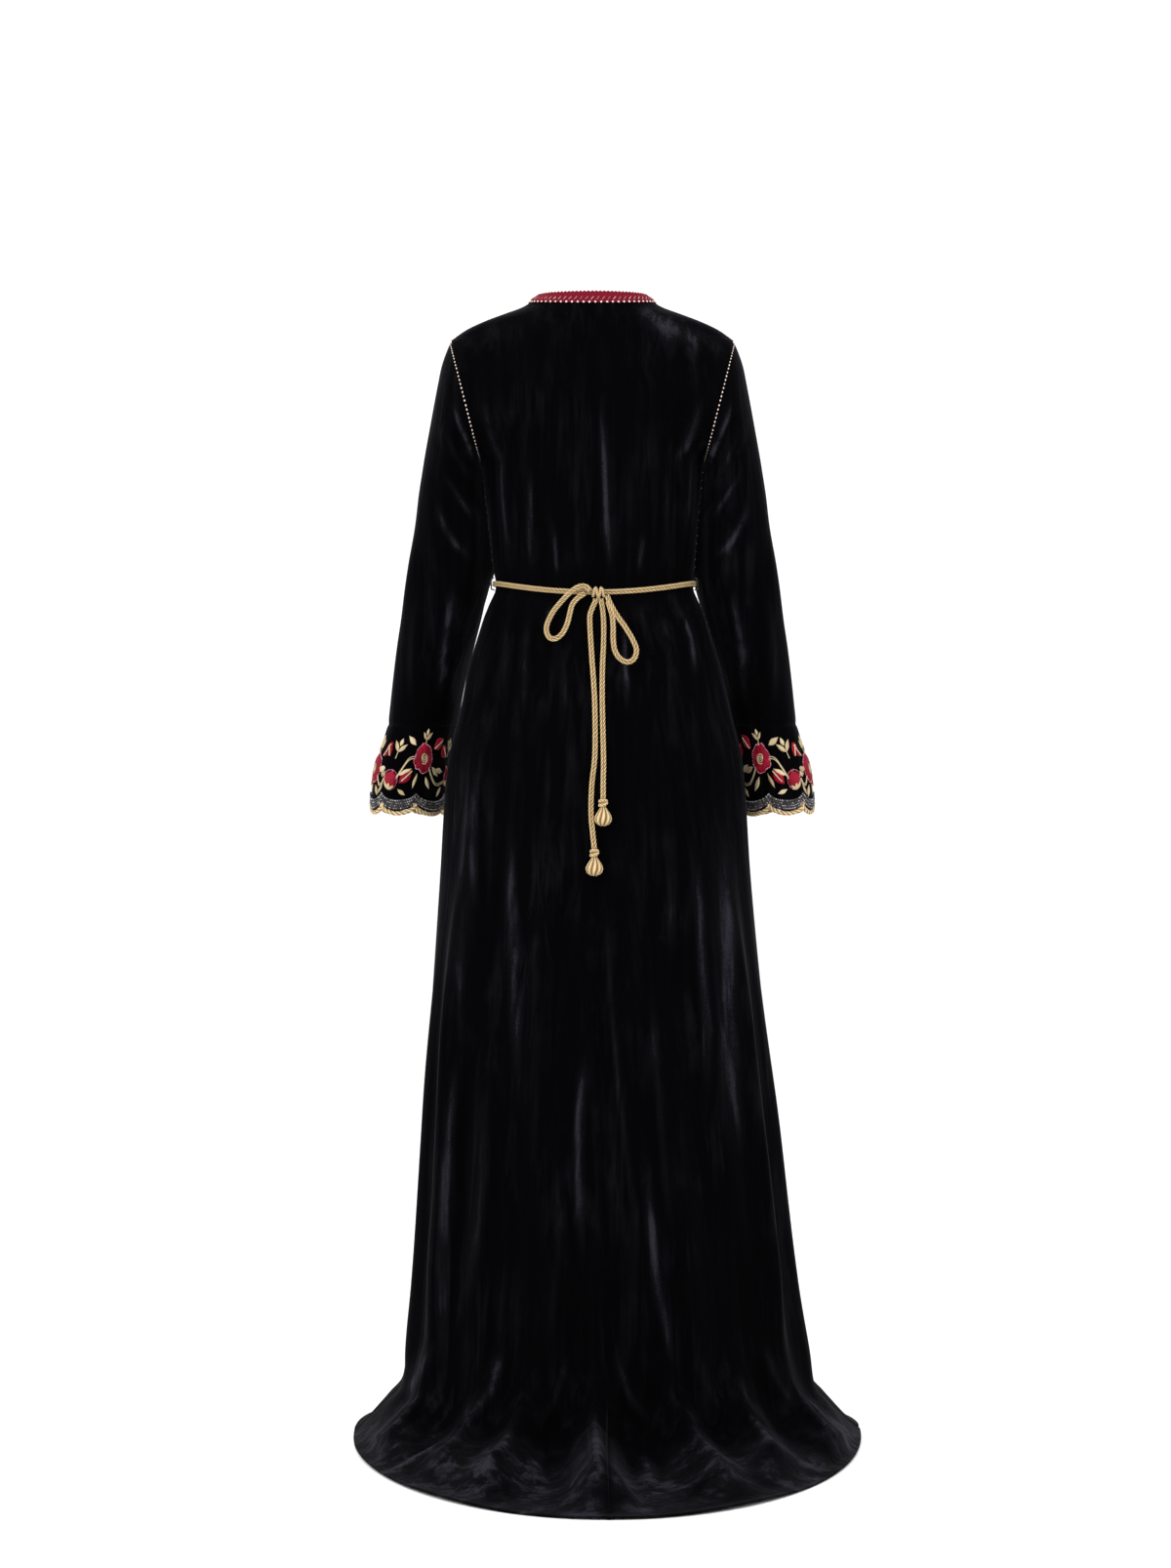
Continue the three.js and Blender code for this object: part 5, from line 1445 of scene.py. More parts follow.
    def petal(self, pile: Pile, along: float, across: float, turn: float, long: float, wide: float,
              high: float, tone: float, blunt: float = 0.6, taper: float = 0.75) -> None:
        """Add one padded satin-stitch petal or leaf.

        Args:
            pile: Where it goes.
            along: Its root's distance round the cuff.
            across: Its root's distance down the cuff.
            turn: Its direction on the cloth, in degrees from along it towards the hem.
            long: Its length.
            wide: Its width.
            high: How far its middle stands up.
            tone: How light it is.
            blunt: How far along it is widest, from 0.5 near its tip to 1 near its middle.
            taper: How its ends close; above 1 they are pointed.
        """
        a, b = np.meshgrid(np.linspace(0, 1, 9), np.linspace(-1, 1, 7), indexing="ij")
        half = wide / 2 * np.sin(np.pi * np.clip(a, 0.02, 0.985) ** (0.8 / blunt)) ** taper
        x, y = a * long, b * half
        cosine, sine = heading(turn)
        lift = 0.35 + high * (1 - b**2) ** 0.6 * np.sin(np.pi * np.clip(a, 0.03, 0.97)) ** 0.4
        points, _ = self.ground.place(
            along + x * cosine - y * sine, across + x * sine + y * cosine, lift)
        under, _ = self.ground.place(
            along + x * cosine - y * sine, across + x * sine + y * cosine, -0.2)
        pile.add_padded(points, under, np.stack([x, y], axis=-1), tone, self.ground.handed() < 0)

    def stem(self, route: Iterable[tuple[float, float]], radius: float, tone: float) -> None:
        """Add one couched thread along a route on the cuff, in millimetres round and down it."""
        flat = smooth_route(route, 8 * len(list(route)))
        line, out = self.ground.place(flat[:, 0], flat[:, 1], radius * 0.7)
        sweep(self.gold, line, out, radius, 6, False, tone)

    def bead_line(self, flat: Array, size: float, tone: float) -> None:
        """Set beads at flat places on the cuff."""
        places = self.ground.axes(flat[:, 0], flat[:, 1])
        tones = tone + self.rng.uniform(-0.15, 0.25, len(flat))
        set_shape(self.beads, self.bead, places, (size, size, size * 0.9), size * 0.45, tones)

    def flower(self, s: float, t: float, radius: float) -> None:
        """Work one round flower: eight petals, a coiled gold heart and a beaded outline."""
        start = self.rng.uniform(0, 45)
        for k in range(8):
            turn = start + 45 * k
            cosine, sine = heading(turn)
            root = (s + 3.4 * cosine, t + 3.4 * sine)
            tone = self.rng.uniform(0.12, 0.42)
            self.petal(self.silk, *root, turn, radius - 3.6, radius * 0.9, 1.8, tone, 0.5, 0.6)
        theta = np.linspace(0, 2 * np.pi * 2.3, 44)
        coil = 0.6 + theta * 0.42
        line, out = self.ground.place(s + coil * np.cos(theta), t + coil * np.sin(theta), 1.9)
        sweep(self.gold, line, out, 0.75, 6, False, 0.55)
        count = 56
        theta = 2 * np.pi * np.arange(count) / count
        wave = radius * (1.0 + 0.07 * np.abs(np.cos((theta - math.radians(start)) * 4)))
        outline = np.stack([s + wave * np.cos(theta), t + wave * np.sin(theta)], axis=1)
        self.bead_line(outline, 1.7, 0.5)

    def bud(self, s: float, t: float, turn: float, size: float) -> None:
        """Work one oval bud with a gold cup below it and a beaded seam down its middle."""
        cosine, sine = heading(turn)
        self.petal(self.silk, s, t, turn, size * 1.35, size, 2.2, 0.35, 0.75)
        inner, cup = (s - 1.2 * sine, t + 1.2 * cosine), (s - 2 * cosine, t - 2 * sine)
        self.petal(self.silk, *inner, turn + 13, size * 1.2, size * 0.5, 2.6, 0.2, 0.8)
        for lean in (-38, 0, 38):
            self.petal(self.gold, *cup, turn + lean, size * 0.62, size * 0.3, 2.8, 0.5, 0.9)
        share = np.linspace(0.3, 1.02, 9)
        line = np.stack([s + share * size * 1.3 * cosine, t + share * size * 1.3 * sine], axis=1)
        self.bead_line(line, 1.8, 0.55)
        angle = np.linspace(0.35, 2 * np.pi - 0.35, 26)
        x = size * 0.68 - size * 0.74 * np.cos(angle)
        y = size * 0.56 * np.sin(angle)
        rim = np.stack([s + x * cosine - y * sine, t + x * sine + y * cosine], axis=1)
        self.bead_line(rim, 1.5, 0.5)

    def tulip(self, s: float, t: float, turn: float, size: float) -> None:
        """Work one gold tulip of three pointed petals on a short stem."""
        cosine, sine = heading(turn)
        for lean, start, long in ((-40, 0.0, 1.1), (0, 0.5, 0.75), (40, 0.0, 1.1)):
            root = (s + start * size * cosine, t + start * size * sine)
            tone = 0.5 + 0.1 * (lean == 0)
            self.petal(self.gold, *root, turn + lean, size * long, size * 0.42, 1.2, tone, 0.9, 1.1)
        self.stem([(s, t), (s - 4 * cosine, t - 4 * sine), (s - 8 * cosine, t - 8 * sine)], 0.6, 0.55)

    def leaf(self, s: float, t: float, turn: float, size: float, kind: Motif) -> None:
        """Work one leaf, in crimson silk with a gold vein or all in gold."""
        if kind is Motif.GOLD_LEAF:
            tone = self.rng.uniform(0.35, 0.65)
            self.petal(self.gold, s, t, turn, size * 1.12, size * 0.42, 1.0, tone, 0.85, 1.25)
            return
        self.petal(self.silk, s, t, turn, size * 1.1, size * 0.74, 1.4, self.rng.uniform(0.15, 0.4), 0.8, 1.0)
        cosine, sine = heading(turn)
        vein = [(s + k * size * cosine, t + k * size * sine) for k in (0.02, 0.5, 0.9)]
        line, out = self.ground.place([p[0] for p in vein], [p[1] for p in vein], 1.9)
        sweep(self.gold, smooth_route(line, 10), np.repeat(out[:1], 10, axis=0), 0.8, 5, False, 0.65)

    def build_embroidery(self, word: str) -> None:
        """Work the whole cuff: flowers and buds in turn, with leaves, tulips and double stems between."""
        turn = self.ground.along[-1]
        spots = sorted((round_share, down, radius) for round_share, down, radius, _ in FLOWERS)
        figures = (
            (Motif.SILK_LEAF, 19, -14, -42, 21), (Motif.GOLD_LEAF, 21, 7, 28, 18),
            (Motif.GOLD_LEAF, -19, -16, -140, 18), (Motif.SILK_LEAF, -18, 14, 140, 20),
            (Motif.TULIP, 0, -23, -90, 14), (Motif.GOLD_LEAF, -8, 22, 118, 17),
            (Motif.GOLD_LEAF, 10, 21, 62, 17),
        )
        lesser = (
            (Motif.GOLD_LEAF, 12, -6, -25, 18), (Motif.GOLD_LEAF, -12, -8, -155, 18),
            (Motif.TULIP, 5, -33, -76, 14), (Motif.SILK_LEAF, -7, -25, -124, 19),
            (Motif.GOLD_LEAF, 13, 12, 40, 14), (Motif.GOLD_LEAF, -13, 12, 140, 14),
        )
        for number, (round_share, down, radius) in enumerate(spots):
            s, t = round_share * turn, down * self.tall
            is_flower = radius > 14
            if is_flower:
                self.flower(s, t, radius)
            else:
                self.bud(s, t + 13, -90 + (8 if number % 4 else -10), radius * 1.45)
            for kind, ds, dt, lean, size in figures if is_flower else lesser:
                lean, size = lean + self.rng.uniform(-9, 9), size * self.rng.uniform(0.9, 1.08)
                at = (s + ds, min(max(t + dt, 7.0), self.tall * self.braid_top - 4))
                if kind is Motif.TULIP:
                    self.tulip(*at, lean, size)
                else:
                    self.leaf(*at, lean, size, kind)
            ahead = spots[(number + 1) % len(spots)]
            end = (ahead[0] + (1 if number == len(spots) - 1 else 0)) * turn
            end_t = ahead[1] * self.tall + (6 if is_flower else 4)
            for gap in (-1.2, 1.2):
                middle = ((s + end) / 2, (t + end_t) / 2 + (13 if is_flower else -15) + gap)
                self.stem([(s + 8, t + gap), middle, (end - 6, end_t + gap)], 0.62, 0.6)
        for name, pile, surface in (
            ("silk", self.silk, Surface.CRIMSON_SILK), ("gold", self.gold, Surface.GOLD_THREAD),
            ("beads", self.beads, Surface.ROSE_BEAD),
        ):
            self.wardrobe.dress(pile, f"embroidery_{name}_{word}", surface, "embroidered_velvet")


# ---- neck braid and hand stitches


@dataclass
class NeckTrim:
    """Crimson braid round the neck and down the slit, with picots, couched stitches and dots."""

    wardrobe: Wardrobe
    bead: tuple[Array, list[Array]]
    width: float = 16.0
    slit_width: float = 12.0
    thick: float = 1.9
    rest: float = 0.5
    picot_pitch: float = 5.8
    dark_loop: float = -0.3
    dot_pitch: float = 7.5

    def neck_ground(self) -> Ground:
        """Return the strip of cloth under the neck braid, from one edge of the slit to the other."""
        u = np.linspace(0, 1, 61)
        rows = np.linspace(0, 1, 7)
        parts = []
        for is_back, side, share in (
            (False, LEFT, u), (True, LEFT, u[::-1][1:]), (True, RIGHT, u[1:]), (False, RIGHT, u[::-1][1:]),
        ):
            row, across = np.meshgrid(rows, share, indexing="ij")
            parts.append(yoke_point(is_back, side, across, row))
        return self.measured(np.concatenate(parts, axis=1))

    def slit_ground(self, side: int) -> Ground:
        """Return the strip of cloth under the braid on one edge of the slit."""
        levels = np.concatenate([
            np.linspace(1 / YOKE_ROWS - 1, -0.001, 40), np.linspace(0, UNDERARM - SLIT_FOOT, 20)])
        edge = surface(levels, np.full(60, side * 179.999), False)
        inner = surface(levels, np.full(60, side * 170.0), False)
        reach = unit(inner - edge)
        across = np.linspace(0.2, self.slit_width, 6)
        points = edge[None] + reach[None] * across[:, None, None]
        return self.measured(points)

    def measured(self, points: Array) -> Ground:
        """Return a ground over a grid of points, measured in millimetres."""
        outward = grid_normals(points, middle=points.mean(axis=1, keepdims=True) * (0, 0, 1) + (0, 0, 40))
        along, across = run_length(points[len(points) // 2]), run_length(points[:, points.shape[1] // 2])
        return Ground(points, along, across, outward)

    def strip(self, pile: Pile, ground: Ground, width: float, tone: float) -> None:
        """Add a braid strip with rounded edges and a low rib along each side."""
        columns = max(int(ground.along[-1] / 2.0), 12)
        s, t = np.meshgrid(
            np.linspace(0, ground.along[-1], columns), np.linspace(0, width, 13), indexing="ij")
        share = t / width
        crown = self.rest + self.thick * (1 - (2 * share - 1) ** 6)
        crown = crown + 0.35 * np.cos(share * 4 * np.pi) + 0.12 * np.sin(s * 2 * np.pi / 3.6 + share * 7)
        over, _ = ground.place(s, t, crown)
        under, _ = ground.place(s, t, self.rest * 0.4)
        pile.add_padded(over, under, np.stack([s, t], axis=-1), tone, ground.handed() < 0)

    def build(self) -> None:
        """Build and dress the neck braid, the slit's braids and their stitches."""
        stitches, cream = Pile(), Pile()
        rng = np.random.default_rng(7)
        neck = self.neck_ground()
        band = Pile()
        self.strip(band, neck, neck.across[-1], 0.3)
        self.wardrobe.dress(band, "neck_braid", Surface.CRIMSON_BRAID, "crimson_braid", "neck_band")
        self.decorate(neck, neck.across[-1], stitches, cream, rng, True)
        for side, word in SIDE_WORDS.items():
            ground = self.slit_ground(side)
            strip = Pile()
            self.strip(strip, ground, self.slit_width, 0.3)
            self.wardrobe.dress(
                strip, f"slit_braid_{word}", Surface.CRIMSON_BRAID, "crimson_braid", f"slit_band_{word}")
            self.decorate(ground, self.slit_width, stitches, cream, rng, False)
        self.wardrobe.dress(stitches, "braid_stitches", Surface.SILVER_THREAD, "crimson_braid")
        self.wardrobe.dress(cream, "braid_picots", Surface.CREAM_THREAD, "crimson_braid")

    def decorate(self, ground: Ground, width: float, stitches: Pile, cream: Pile, rng: np.random.Generator,
                 picots: bool) -> None:
        """Set slanted couched stitches, edge dots and picots on a strip.

        Args:
            ground: The strip.
            width: Its width.
            stitches: Where the slanted stitches go.
            cream: Where the dots and picots go.
            rng: The source of small differences.
            picots: Whether its upper edge has picots.
        """
        length, top = ground.along[-1], self.rest + self.thick + 0.1
        rows = [
            (stitches, self.dot_pitch, 0.5, width * 0.62, (7.8, 1.2, 1.2), top, (0.15, 0.6), 0.8),
            (cream, self.dot_pitch, 0, width - 0.6, (3.5, 3.2, 2.4), 1.5, (0.35, 0.65), 0),
        ]
        if picots:
            rows += [
                (cream, self.picot_pitch, 0, 0.2, (2.6, 2.6, 2.2), 1.2, (0.35, 0.65), 0),
                (stitches, self.picot_pitch, 0.5, 0.4, (2.4, 2.6, 2.2), 1.2, None, 0),
            ]
        for pile, pitch, shift, across, size, lift, tones, lean in rows:
            count = int(length / pitch)
            spots = (np.arange(count) + 0.5) * length / count + shift * pitch
            shades = rng.uniform(*tones, count) if tones else np.full(count, self.dark_loop)
            set_shape(pile, self.bead, ground.axes(spots, np.full(count, across)), size, lift, shades, lean)


@dataclass
class HandStitches:
    """Cream pick stitch on dark garnet along the armholes, and small dots down the side seams, which lie a
    little behind the seam on the right and a little before it on the left."""

    wardrobe: Wardrobe
    bead: tuple[Array, list[Array]]
    pitch: float = 6.0
    side_pitch: float = 11.0
    side_foot: float = 500.0
    side_shift: tuple[float, float] = (-5.0, 3.0)

    def armhole(self, side: int) -> tuple[Array, Array, Array]:
        """Return places along an armhole, on the sleeve's side of its seam, with their directions."""
        phi = np.linspace(0, 360, 721)[:-1]
        line = tube_point(SLEEVE, SLEEVE_FOLDS, side, np.full(720, 0.10), phi)
        ahead = tube_point(SLEEVE, SLEEVE_FOLDS, side, np.full(720, 0.22), phi)
        around = tangents(line, True)
        outward = unit(np.cross(around, ahead - line))
        outward *= np.sign(np.sum(outward * (line - line.mean(axis=0))))
        return line, around, outward

    def build(self) -> None:
        """Build and dress both rows of stitches."""
        cream, red = Pile(), Pile()
        rng = np.random.default_rng(19)
        for side in SIDE_WORDS:
            line, around, outward = self.armhole(side)
            run = run_length(line)
            count = int(run[-1] / self.pitch)
            for pile, shift, size in ((cream, 0.25, (3.2, 2.1, 1.6)), (red, 0.75, (3.0, 1.7, 1.2))):
                index = np.searchsorted(run, (np.arange(count) + shift) * run[-1] / count)
                index = np.minimum(index, len(run) - 1)
                places = (line[index], around[index], outward[index])
                set_shape(pile, self.bead, places, size, -0.4, rng.uniform(0.3, 0.6, count))
            down = np.arange(16.0, self.side_foot, self.side_pitch)
            at = surface(down, np.full(len(down), side * 90.0), True)
            ahead = surface(down + 4, np.full(len(down), side * 90.0), True)
            outward = np.tile([float(side), 0.0, 0.0], (len(down), 1))
            clear = np.abs(UNDERARM - down - BELT_HEIGHT) > 14
            shift = self.side_shift[side == RIGHT]
            places = (at[clear] + (0, shift, 0), unit(ahead - at)[clear], outward[clear])
            set_shape(cream, self.bead, places, (2.4, 1.6, 1.4), -0.5, rng.uniform(-0.1, 0.3, int(clear.sum())))
        self.wardrobe.dress(cream, "pick_stitch_cream", Surface.CREAM_THREAD, "crimson_braid")
        self.wardrobe.dress(red, "pick_stitch_red", Surface.GARNET_THREAD, "crimson_braid")


# ---- belt, bow and tassels


@dataclass
class CordBelt:
    """The doubled cord round the waist with its knot, bow, tails, tassels and thread carriers."""

    wardrobe: Wardrobe
    rope: Rope = Rope()
    loop_lift: tuple[float, float] = (5.0, 6.0)
    knot_wraps: tuple[float, ...] = (-6.2, -2.2, 1.9, 6.0)
    tassel_folds: int = 9

    def belt_line(self) -> tuple[Array, Array]:
        """Return the belt's middle line and its outward directions, from the left side seam round."""
        angle = np.linspace(-180, 180, 1441)[:-1]
        points = np.empty((1440, 3))
        for is_back in (True, False):
            mask = (np.abs(angle) <= 90) == is_back
            level = UNDERARM - belt_height(angle[mask])
            points[mask] = body_point(level, angle[mask])
        around = tangents(points, True)
        outward = unit(np.cross(around, np.tile([0.0, 0.0, -1.0], (1440, 1))))
        outward *= np.sign(np.sum(outward * points * (1, 1, 0)))
        points = points + outward * (BELT_REST + BELT_THICK / 2)
        points[:, 2] = belt_height(angle)
        return points, outward

    def pair(self, pile: Pile, line: Array, out: Array, closed: bool) -> None:
        """Lay two cords side by side along a line."""
        shift = CORD_WIDE / 4
        self.rope.lay_along(pile, line, out, shift, closed, 0.3, 0.42)
        self.rope.lay_along(pile, line, out, -shift, closed, 1.4, 0.36)

    def route(self, flat: Iterable[tuple[float, float]], is_loop: bool, knot_depth: float) -> Array:
        """Place a loop's or tail's flat route behind the skirt.

        Args:
            flat: Distance left of the middle and height, from the knot.
            is_loop: Whether it is a loop, which bows away from the cloth.
            knot_depth: The depth of the knot's middle, where a tail starts.

        Returns:
            The route's points.
        """
        flat = list(flat)
        last = len(flat) - 1
        points = []
        for i, (x, height) in enumerate(flat):
            if is_loop:
                lift = self.loop_lift[0] + self.loop_lift[1] * math.sin(math.pi * i / last)
                depth = clear_depth(x, height, CORD_WIDE / 2, 0) + CORD_REST + CORD_THICK / 2 + lift
            else:
                end = float(smoothstep(i / last, 0.7, 1))
                reach = (CORD_WIDE + (TASSEL_BULB_WIDE - CORD_WIDE) * end) / 2
                stand = (CORD_THICK + (TASSEL_BULB_WIDE - CORD_THICK) * end) / 2
                drop = end * (TASSEL_BULB_TALL + TASSEL_KNOT_TALL)
                depth = clear_depth(x, height, reach, drop) + CORD_REST + stand
                lead = 1 - float(smoothstep(i, 1, 4))
                depth = depth + (knot_depth - depth) * lead
            points.append((x, depth, height))
        return np.array(points)

    def build(self) -> None:
        line, out = self.belt_line()
        count = self.rope.stations(girth(line))
        even = smooth_route(line[::8], count, closed=True)
        run = np.linspace(0, 1440, count, endpoint=False)
        outward = resample(run, np.arange(1440), out)
        pile = Pile()
        self.pair(pile, even, outward, True)
        self.wardrobe.dress(pile, "waist_cord", Surface.GOLD_CORD, "gold_cord", "belt")
        depth = back_depth(KNOT_X, float(belt_height(0.0))) + BELT_REST + BELT_THICK + 0.5 + KNOT_DEEP / 2
        self.build_knot(depth)
        for word, flat in (("left", LOOP_LEFT), ("right", LOOP_RIGHT)):
            self.build_cord(f"bow_loop_cord_{word}", f"bow_loop_{word}", self.route(flat, True, depth))
        for word, flat in (("left", TAIL_LEFT), ("right", TAIL_RIGHT)):
            route = self.route(flat, False, depth)
            tassel = self.build_tassel(word, route[-1])
            self.build_cord(f"tail_cord_{word}", f"belt_tail_{word}", route)
        self.build_carriers()

    def build_cord(self, name: str, node: str, route: Array) -> None:
        """Build one loop or tail.

        Args:
            name: The piece's name.
            node: The node that it replaces.
            route: Its given route.
        """
        rough = smooth_route(route, 200)
        length = float(run_length(rough)[-1])
        line = smooth_route(route, self.rope.stations(length))
        pile = Pile()
        self.pair(pile, line, np.tile([0.0, 1.0, 0.0], (len(line), 1)), False)
        piece = self.wardrobe.dress(pile, name, Surface.GOLD_CORD, "gold_cord", node)

    def build_knot(self, depth: float) -> None:
        """Build the belt's knot: the cord wrapped round itself over a small core."""
        pile = Pile()
        phi = 2 * np.pi * np.arange(40) / 40
        for k, x in enumerate(self.knot_wraps):
            narrow = math.sqrt(max(1 - (x / (KNOT_WIDE / 2 + 1.2)) ** 2, 0.2))
            tall, deep = KNOT_TALL / 2 * narrow - 1.0, KNOT_DEEP / 2 * narrow - 1.0
            lean = 0.22 * (-1) ** k
            centre = np.array([KNOT_X + x, depth, KNOT_HEIGHT])
            line = centre + np.stack([lean * tall * np.cos(phi), deep * np.sin(phi), tall * np.cos(phi)], axis=1)
            out = unit(np.stack([0 * phi, np.sin(phi) / deep, np.cos(phi) / tall], axis=1))
            out = out[np.linspace(0, 40, 56, endpoint=False).astype(int)]
            Rope(lay=10.0).lay_along(
                pile, smooth_route(line, 56, closed=True), out, 0.0, True, 0.8 * k, 0.42)
        theta, ring = np.meshgrid(np.linspace(0, np.pi, 9), phi[::2], indexing="ij")
        core = np.stack([
            KNOT_X + (KNOT_WIDE / 2 - 0.6) * np.cos(theta),
            depth + (KNOT_DEEP / 2 - 2.4) * np.sin(theta) * np.sin(ring),
            KNOT_HEIGHT + (KNOT_TALL / 2 - 2.4) * np.sin(theta) * np.cos(ring)], axis=-1)
        pile.add(core, [grid_faces(9, 20, True)], None, 0.2, flip=True)
        self.wardrobe.dress(pile, "bow_knot", Surface.GOLD_CORD, "gold_cord", "belt_knot")

    def build_tassel(self, word: str, end: Array) -> bpy.types.Object:
        """Build one tassel: a small knot of cord over an onion-shaped bulb of folded strands.

        Args:
            word: Which tail it hangs on.
            end: The tail's end.

        Returns:
            The tassel.
        """
        top = end[2] - 3 * SEAM_GAP
        neck = top - TASSEL_KNOT_TALL
        profile = Table(("share", "radius"), (
            (0, 3.0), (0.1, 4.4), (0.28, 7.2), (0.46, 10.0), (0.64, 11.6), (0.8, 11.0), (0.93, 8.2), (1, 4.4)))
        rows, columns = 30, self.tassel_folds * 8
        share, phi = np.meshgrid(
            np.linspace(0, 1, rows), 2 * np.pi * np.arange(columns) / columns, indexing="ij")
        swirl = phi * self.tassel_folds + 3.4 * share * share
        strand = np.abs(np.sin(swirl / 2))
        groove = 2.3 * (1 - strand) ** 1.5 * smoothstep(share, 0.04, 0.2)
        radius = profile.read(share, "radius") - groove * (1 - 0.4 * smoothstep(share, 0.9, 1))
        height = neck - TASSEL_BULB_TALL * (share - 0.03 * np.sin(np.pi * share))
        points = ring_round(end, radius, phi, height)
        pile = Pile()
        uvs = np.stack([swirl * 1.1, share * TASSEL_BULB_TALL], axis=-1)
        # Painted shade in the grooves between the folded strands and painted highlight on their crests.
        pile.add(points, tube_faces(rows, columns), uvs, 0.95 * strand - 0.3)
        rope = Rope(thick=4.4, lay=9.0, steps_a_turn=11)
        turns = 2 * np.pi * np.arange(44) / 44
        for k, (dz, radius_at, lean) in enumerate(((-2.6, 4.5, 0.4), (-6.2, 4.6, -0.4))):
            line = ring_round(end, radius_at, turns, top + dz + lean * radius_at * np.sin(turns + k))
            out = ring_round((0, 0), 1, turns, 0)
            rope.lay_along(pile, line, out, 0.0, True, 0.7 * k, 0.45)
        core = ring_round(end, 4.2, phi[:2], np.array([[top - 0.4], [neck - 1.0]]))
        pile.add(core, tube_faces(2, columns), None, 0.3)
        rng = np.random.default_rng(5 if word == "left" else 6)
        for k in range(7):
            angle, out = 2 * np.pi * k / 7 + rng.uniform(-0.2, 0.2), rng.uniform(1.2, 2.6)
            foot = neck - TASSEL_BULB_TALL
            start = ring_round(end, out, angle, foot + 1.5)
            drop = ring_round((0, 0), 0.8, angle, -rng.uniform(1.4, 2.6))
            line = start + np.linspace(0, 1, 4)[:, None] * drop
            sweep(pile, line, np.tile([1.0, 0.0, 0.0], (4, 1)), np.array([0.9, 0.95, 0.8, 0.4]), 6, False, 0.4)
        return self.wardrobe.dress(
            pile, f"bulb_tassel_{word}", Surface.GOLD_CORD, "gold_cord", f"tassel_{word}")

    def build_carriers(self) -> None:
        """Build the worked thread loops that hold the belt at the side seams."""
        for side, word in SIDE_WORDS.items():
            height = float(belt_height(90.0))
            reach = (1.25, 4.5, 6.0, 6.0, 6.0, 5.7, 1.25)
            rise = (8.5, 7.0, 3.4, 0.0, -3.4, -7.0, -8.5)
            knots = []
            for out, dz in zip(reach, rise):
                at = body_point(UNDERARM - height - dz, side * 90.0)
                knots.append((float(at[0]) + side * out, 0.0, height + dz))
            line = smooth_route(knots, 46)
            pile = Pile()
            Rope(thick=2.2, lay=4.2, steps_a_turn=9, sides=5).lay_along(
                pile, line, np.tile([0.0, 1.0, 0.0], (46, 1)), 0.0, False, 0.0, 0.4)
            self.wardrobe.dress(
                pile, f"thread_carrier_{word}", Surface.DARK_THREAD, "carrier_thread", f"belt_carrier_{word}")


# ---- studio


@dataclass(frozen=True)
class SoftBox:
    """One large soft light: its place, size in metres and power in watts."""

    name: str
    place: tuple[float, float, float]
    aim: tuple[float, float, float]
    size: tuple[float, float]
    watts: float


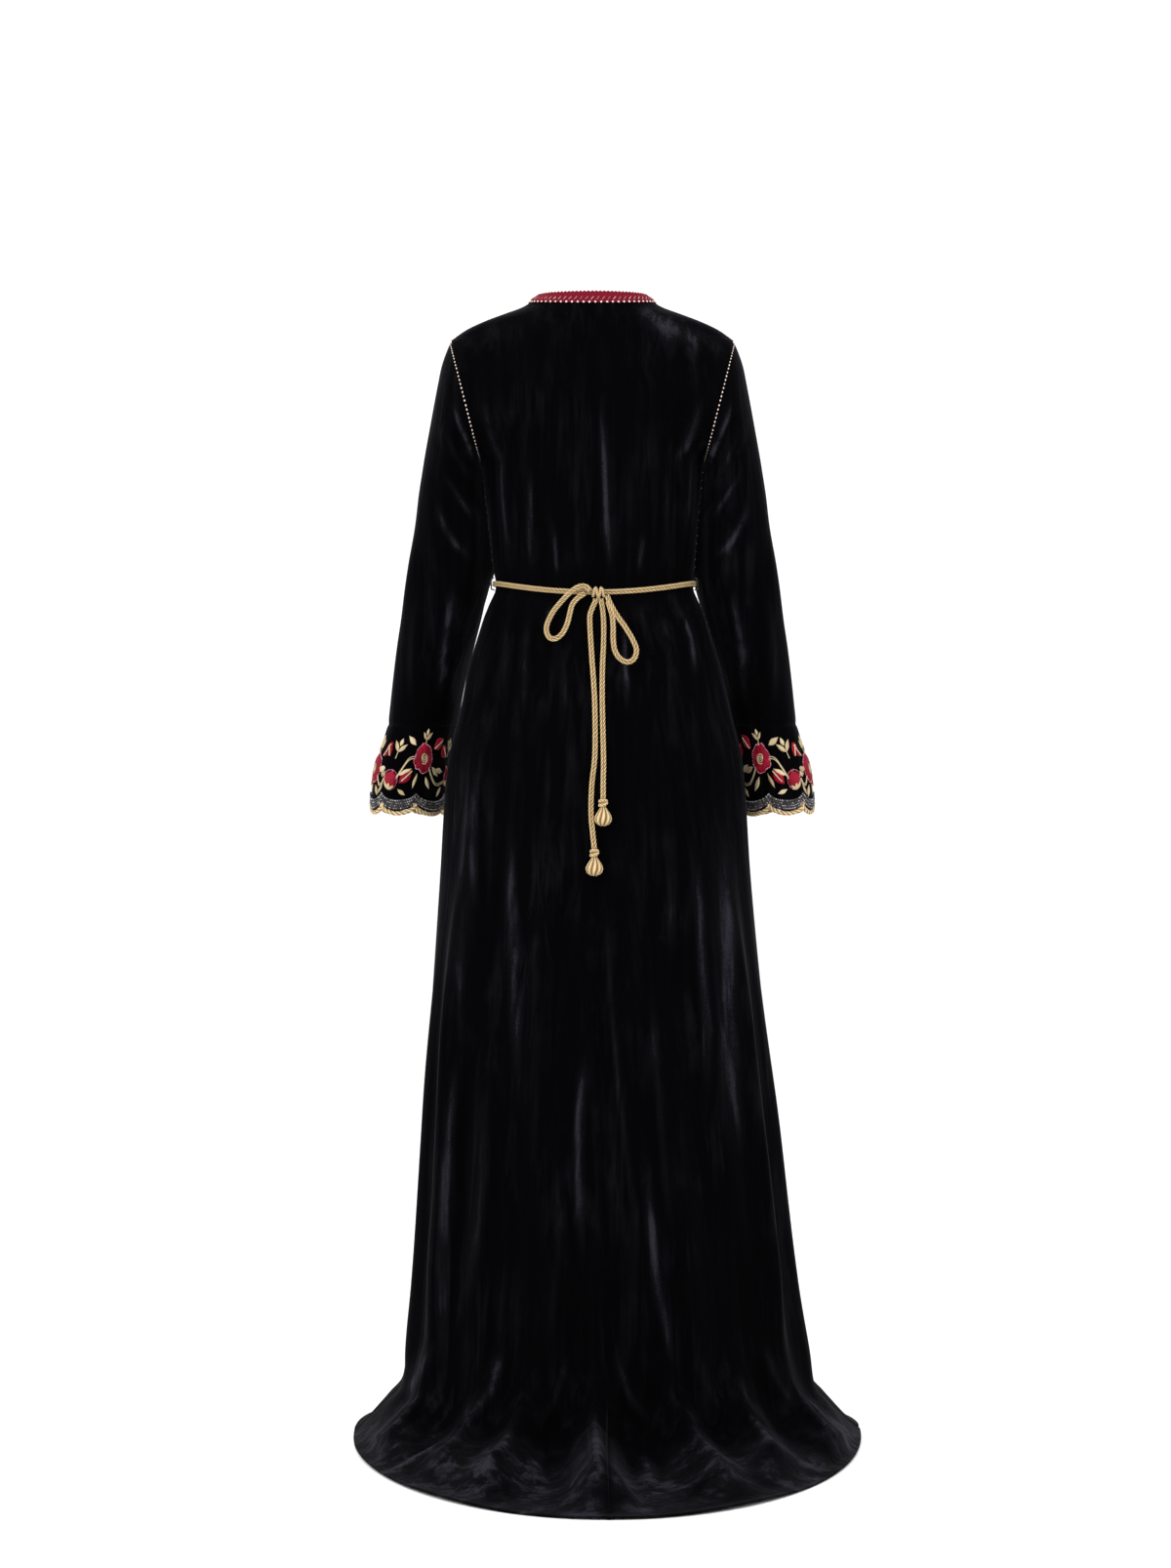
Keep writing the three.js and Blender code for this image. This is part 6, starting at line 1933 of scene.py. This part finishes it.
@dataclass
class Studio:
    """A plain white floor, soft lights and a camera square behind the garment."""

    floor_size: float = 60.0
    camera_distance: float = 4.5
    camera_height: float = 0.9
    camera_shift: float = 0.0095
    lens_mm: float = 74.1
    frame_mm: float = 36.0
    ambient: float = 1.14
    lights: tuple[SoftBox, ...] = (
        SoftBox("key", (2.6, 3.4, 1.3), (0.0, 0.0, -0.6), (1.6, 2.2), 62.0),
        SoftBox("fill", (-3.0, 3.0, 0.9), (0.0, 0.0, -0.7), (1.8, 2.2), 26.0),
        SoftBox("top", (0.0, 1.4, 2.6), (0.0, 0.2, -1.0), (2.2, 1.6), 30.0),
        SoftBox("front", (0.4, -3.6, 1.4), (0.0, 0.0, -0.7), (2.0, 2.0), 30.0),
    )

    def build(self) -> None:
        """Build the floor, the world, the lights and the camera."""
        floor_height = -HOLD_HEIGHT * MM
        bpy.ops.object.select_all(action="DESELECT")
        bpy.ops.mesh.primitive_plane_add(size=self.floor_size, location=(0, 0, 0))
        floor = bpy.context.active_object
        floor.name = "studio_floor"
        bpy.ops.object.mode_set(mode="EDIT")
        bpy.ops.mesh.select_all(action="SELECT")
        bpy.ops.transform.translate(value=(0, 0, floor_height))
        bpy.ops.mesh.subdivide(number_cuts=3)
        bpy.ops.object.mode_set(mode="OBJECT")
        floor.data.materials.append(StudioPaper("background_paper_white").build())
        world = bpy.data.worlds.new("studio_world")
        bpy.context.scene.world = world
        world.use_nodes = True
        back = world.node_tree.nodes["Background"]
        back.inputs["Color"].default_value = (1.0, 1.0, 1.0, 1.0)
        back.inputs["Strength"].default_value = self.ambient
        for box in self.lights:
            data = bpy.data.lights.new(box.name, "AREA")
            data.shape = "RECTANGLE"
            data.size, data.size_y = box.size
            data.energy = box.watts
            light = bpy.data.objects.new(box.name, data)
            bpy.context.scene.collection.objects.link(light)
            self.point_at(light, box.place, box.aim)
        data = bpy.data.cameras.new("photo_view")
        data.sensor_fit = "VERTICAL"
        data.sensor_height = self.frame_mm
        data.lens = self.lens_mm
        data.clip_end = 200.0
        camera = bpy.data.objects.new("photo_view", data)
        bpy.context.scene.collection.objects.link(camera)
        eye = (self.camera_shift, self.camera_distance, floor_height + self.camera_height)
        self.point_at(camera, eye, (self.camera_shift, 0.0, floor_height + self.camera_height))
        bpy.context.scene.camera = camera
        bpy.context.scene.view_settings.view_transform = "Standard"

    def point_at(self, thing: bpy.types.Object, place: tuple[float, float, float],
                 aim: tuple[float, float, float]) -> None:
        """Place a light or the camera and turn it towards a point, with its top upwards."""
        x, y, z = (a - b for a, b in zip(aim, place))
        thing.location = place
        thing.rotation_euler = (math.acos(-z / math.sqrt(x * x + y * y + z * z)), 0.0, math.atan2(-x, y))


def main() -> None:
    """Build the kaftan and its studio."""
    logging.basicConfig(level=logging.INFO, format="%(name)s: %(message)s")
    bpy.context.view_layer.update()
    wardrobe = Wardrobe()
    bead = bead_shape()
    Panels(wardrobe).build()
    Sleeves(wardrobe).build()
    for side in SIDE_WORDS:
        Cuff(wardrobe, bead, side).build()
    NeckTrim(wardrobe, bead).build()
    HandStitches(wardrobe, bead).build()
    CordBelt(wardrobe).build()
    Studio().build()


if __name__ == "__main__":
    main()
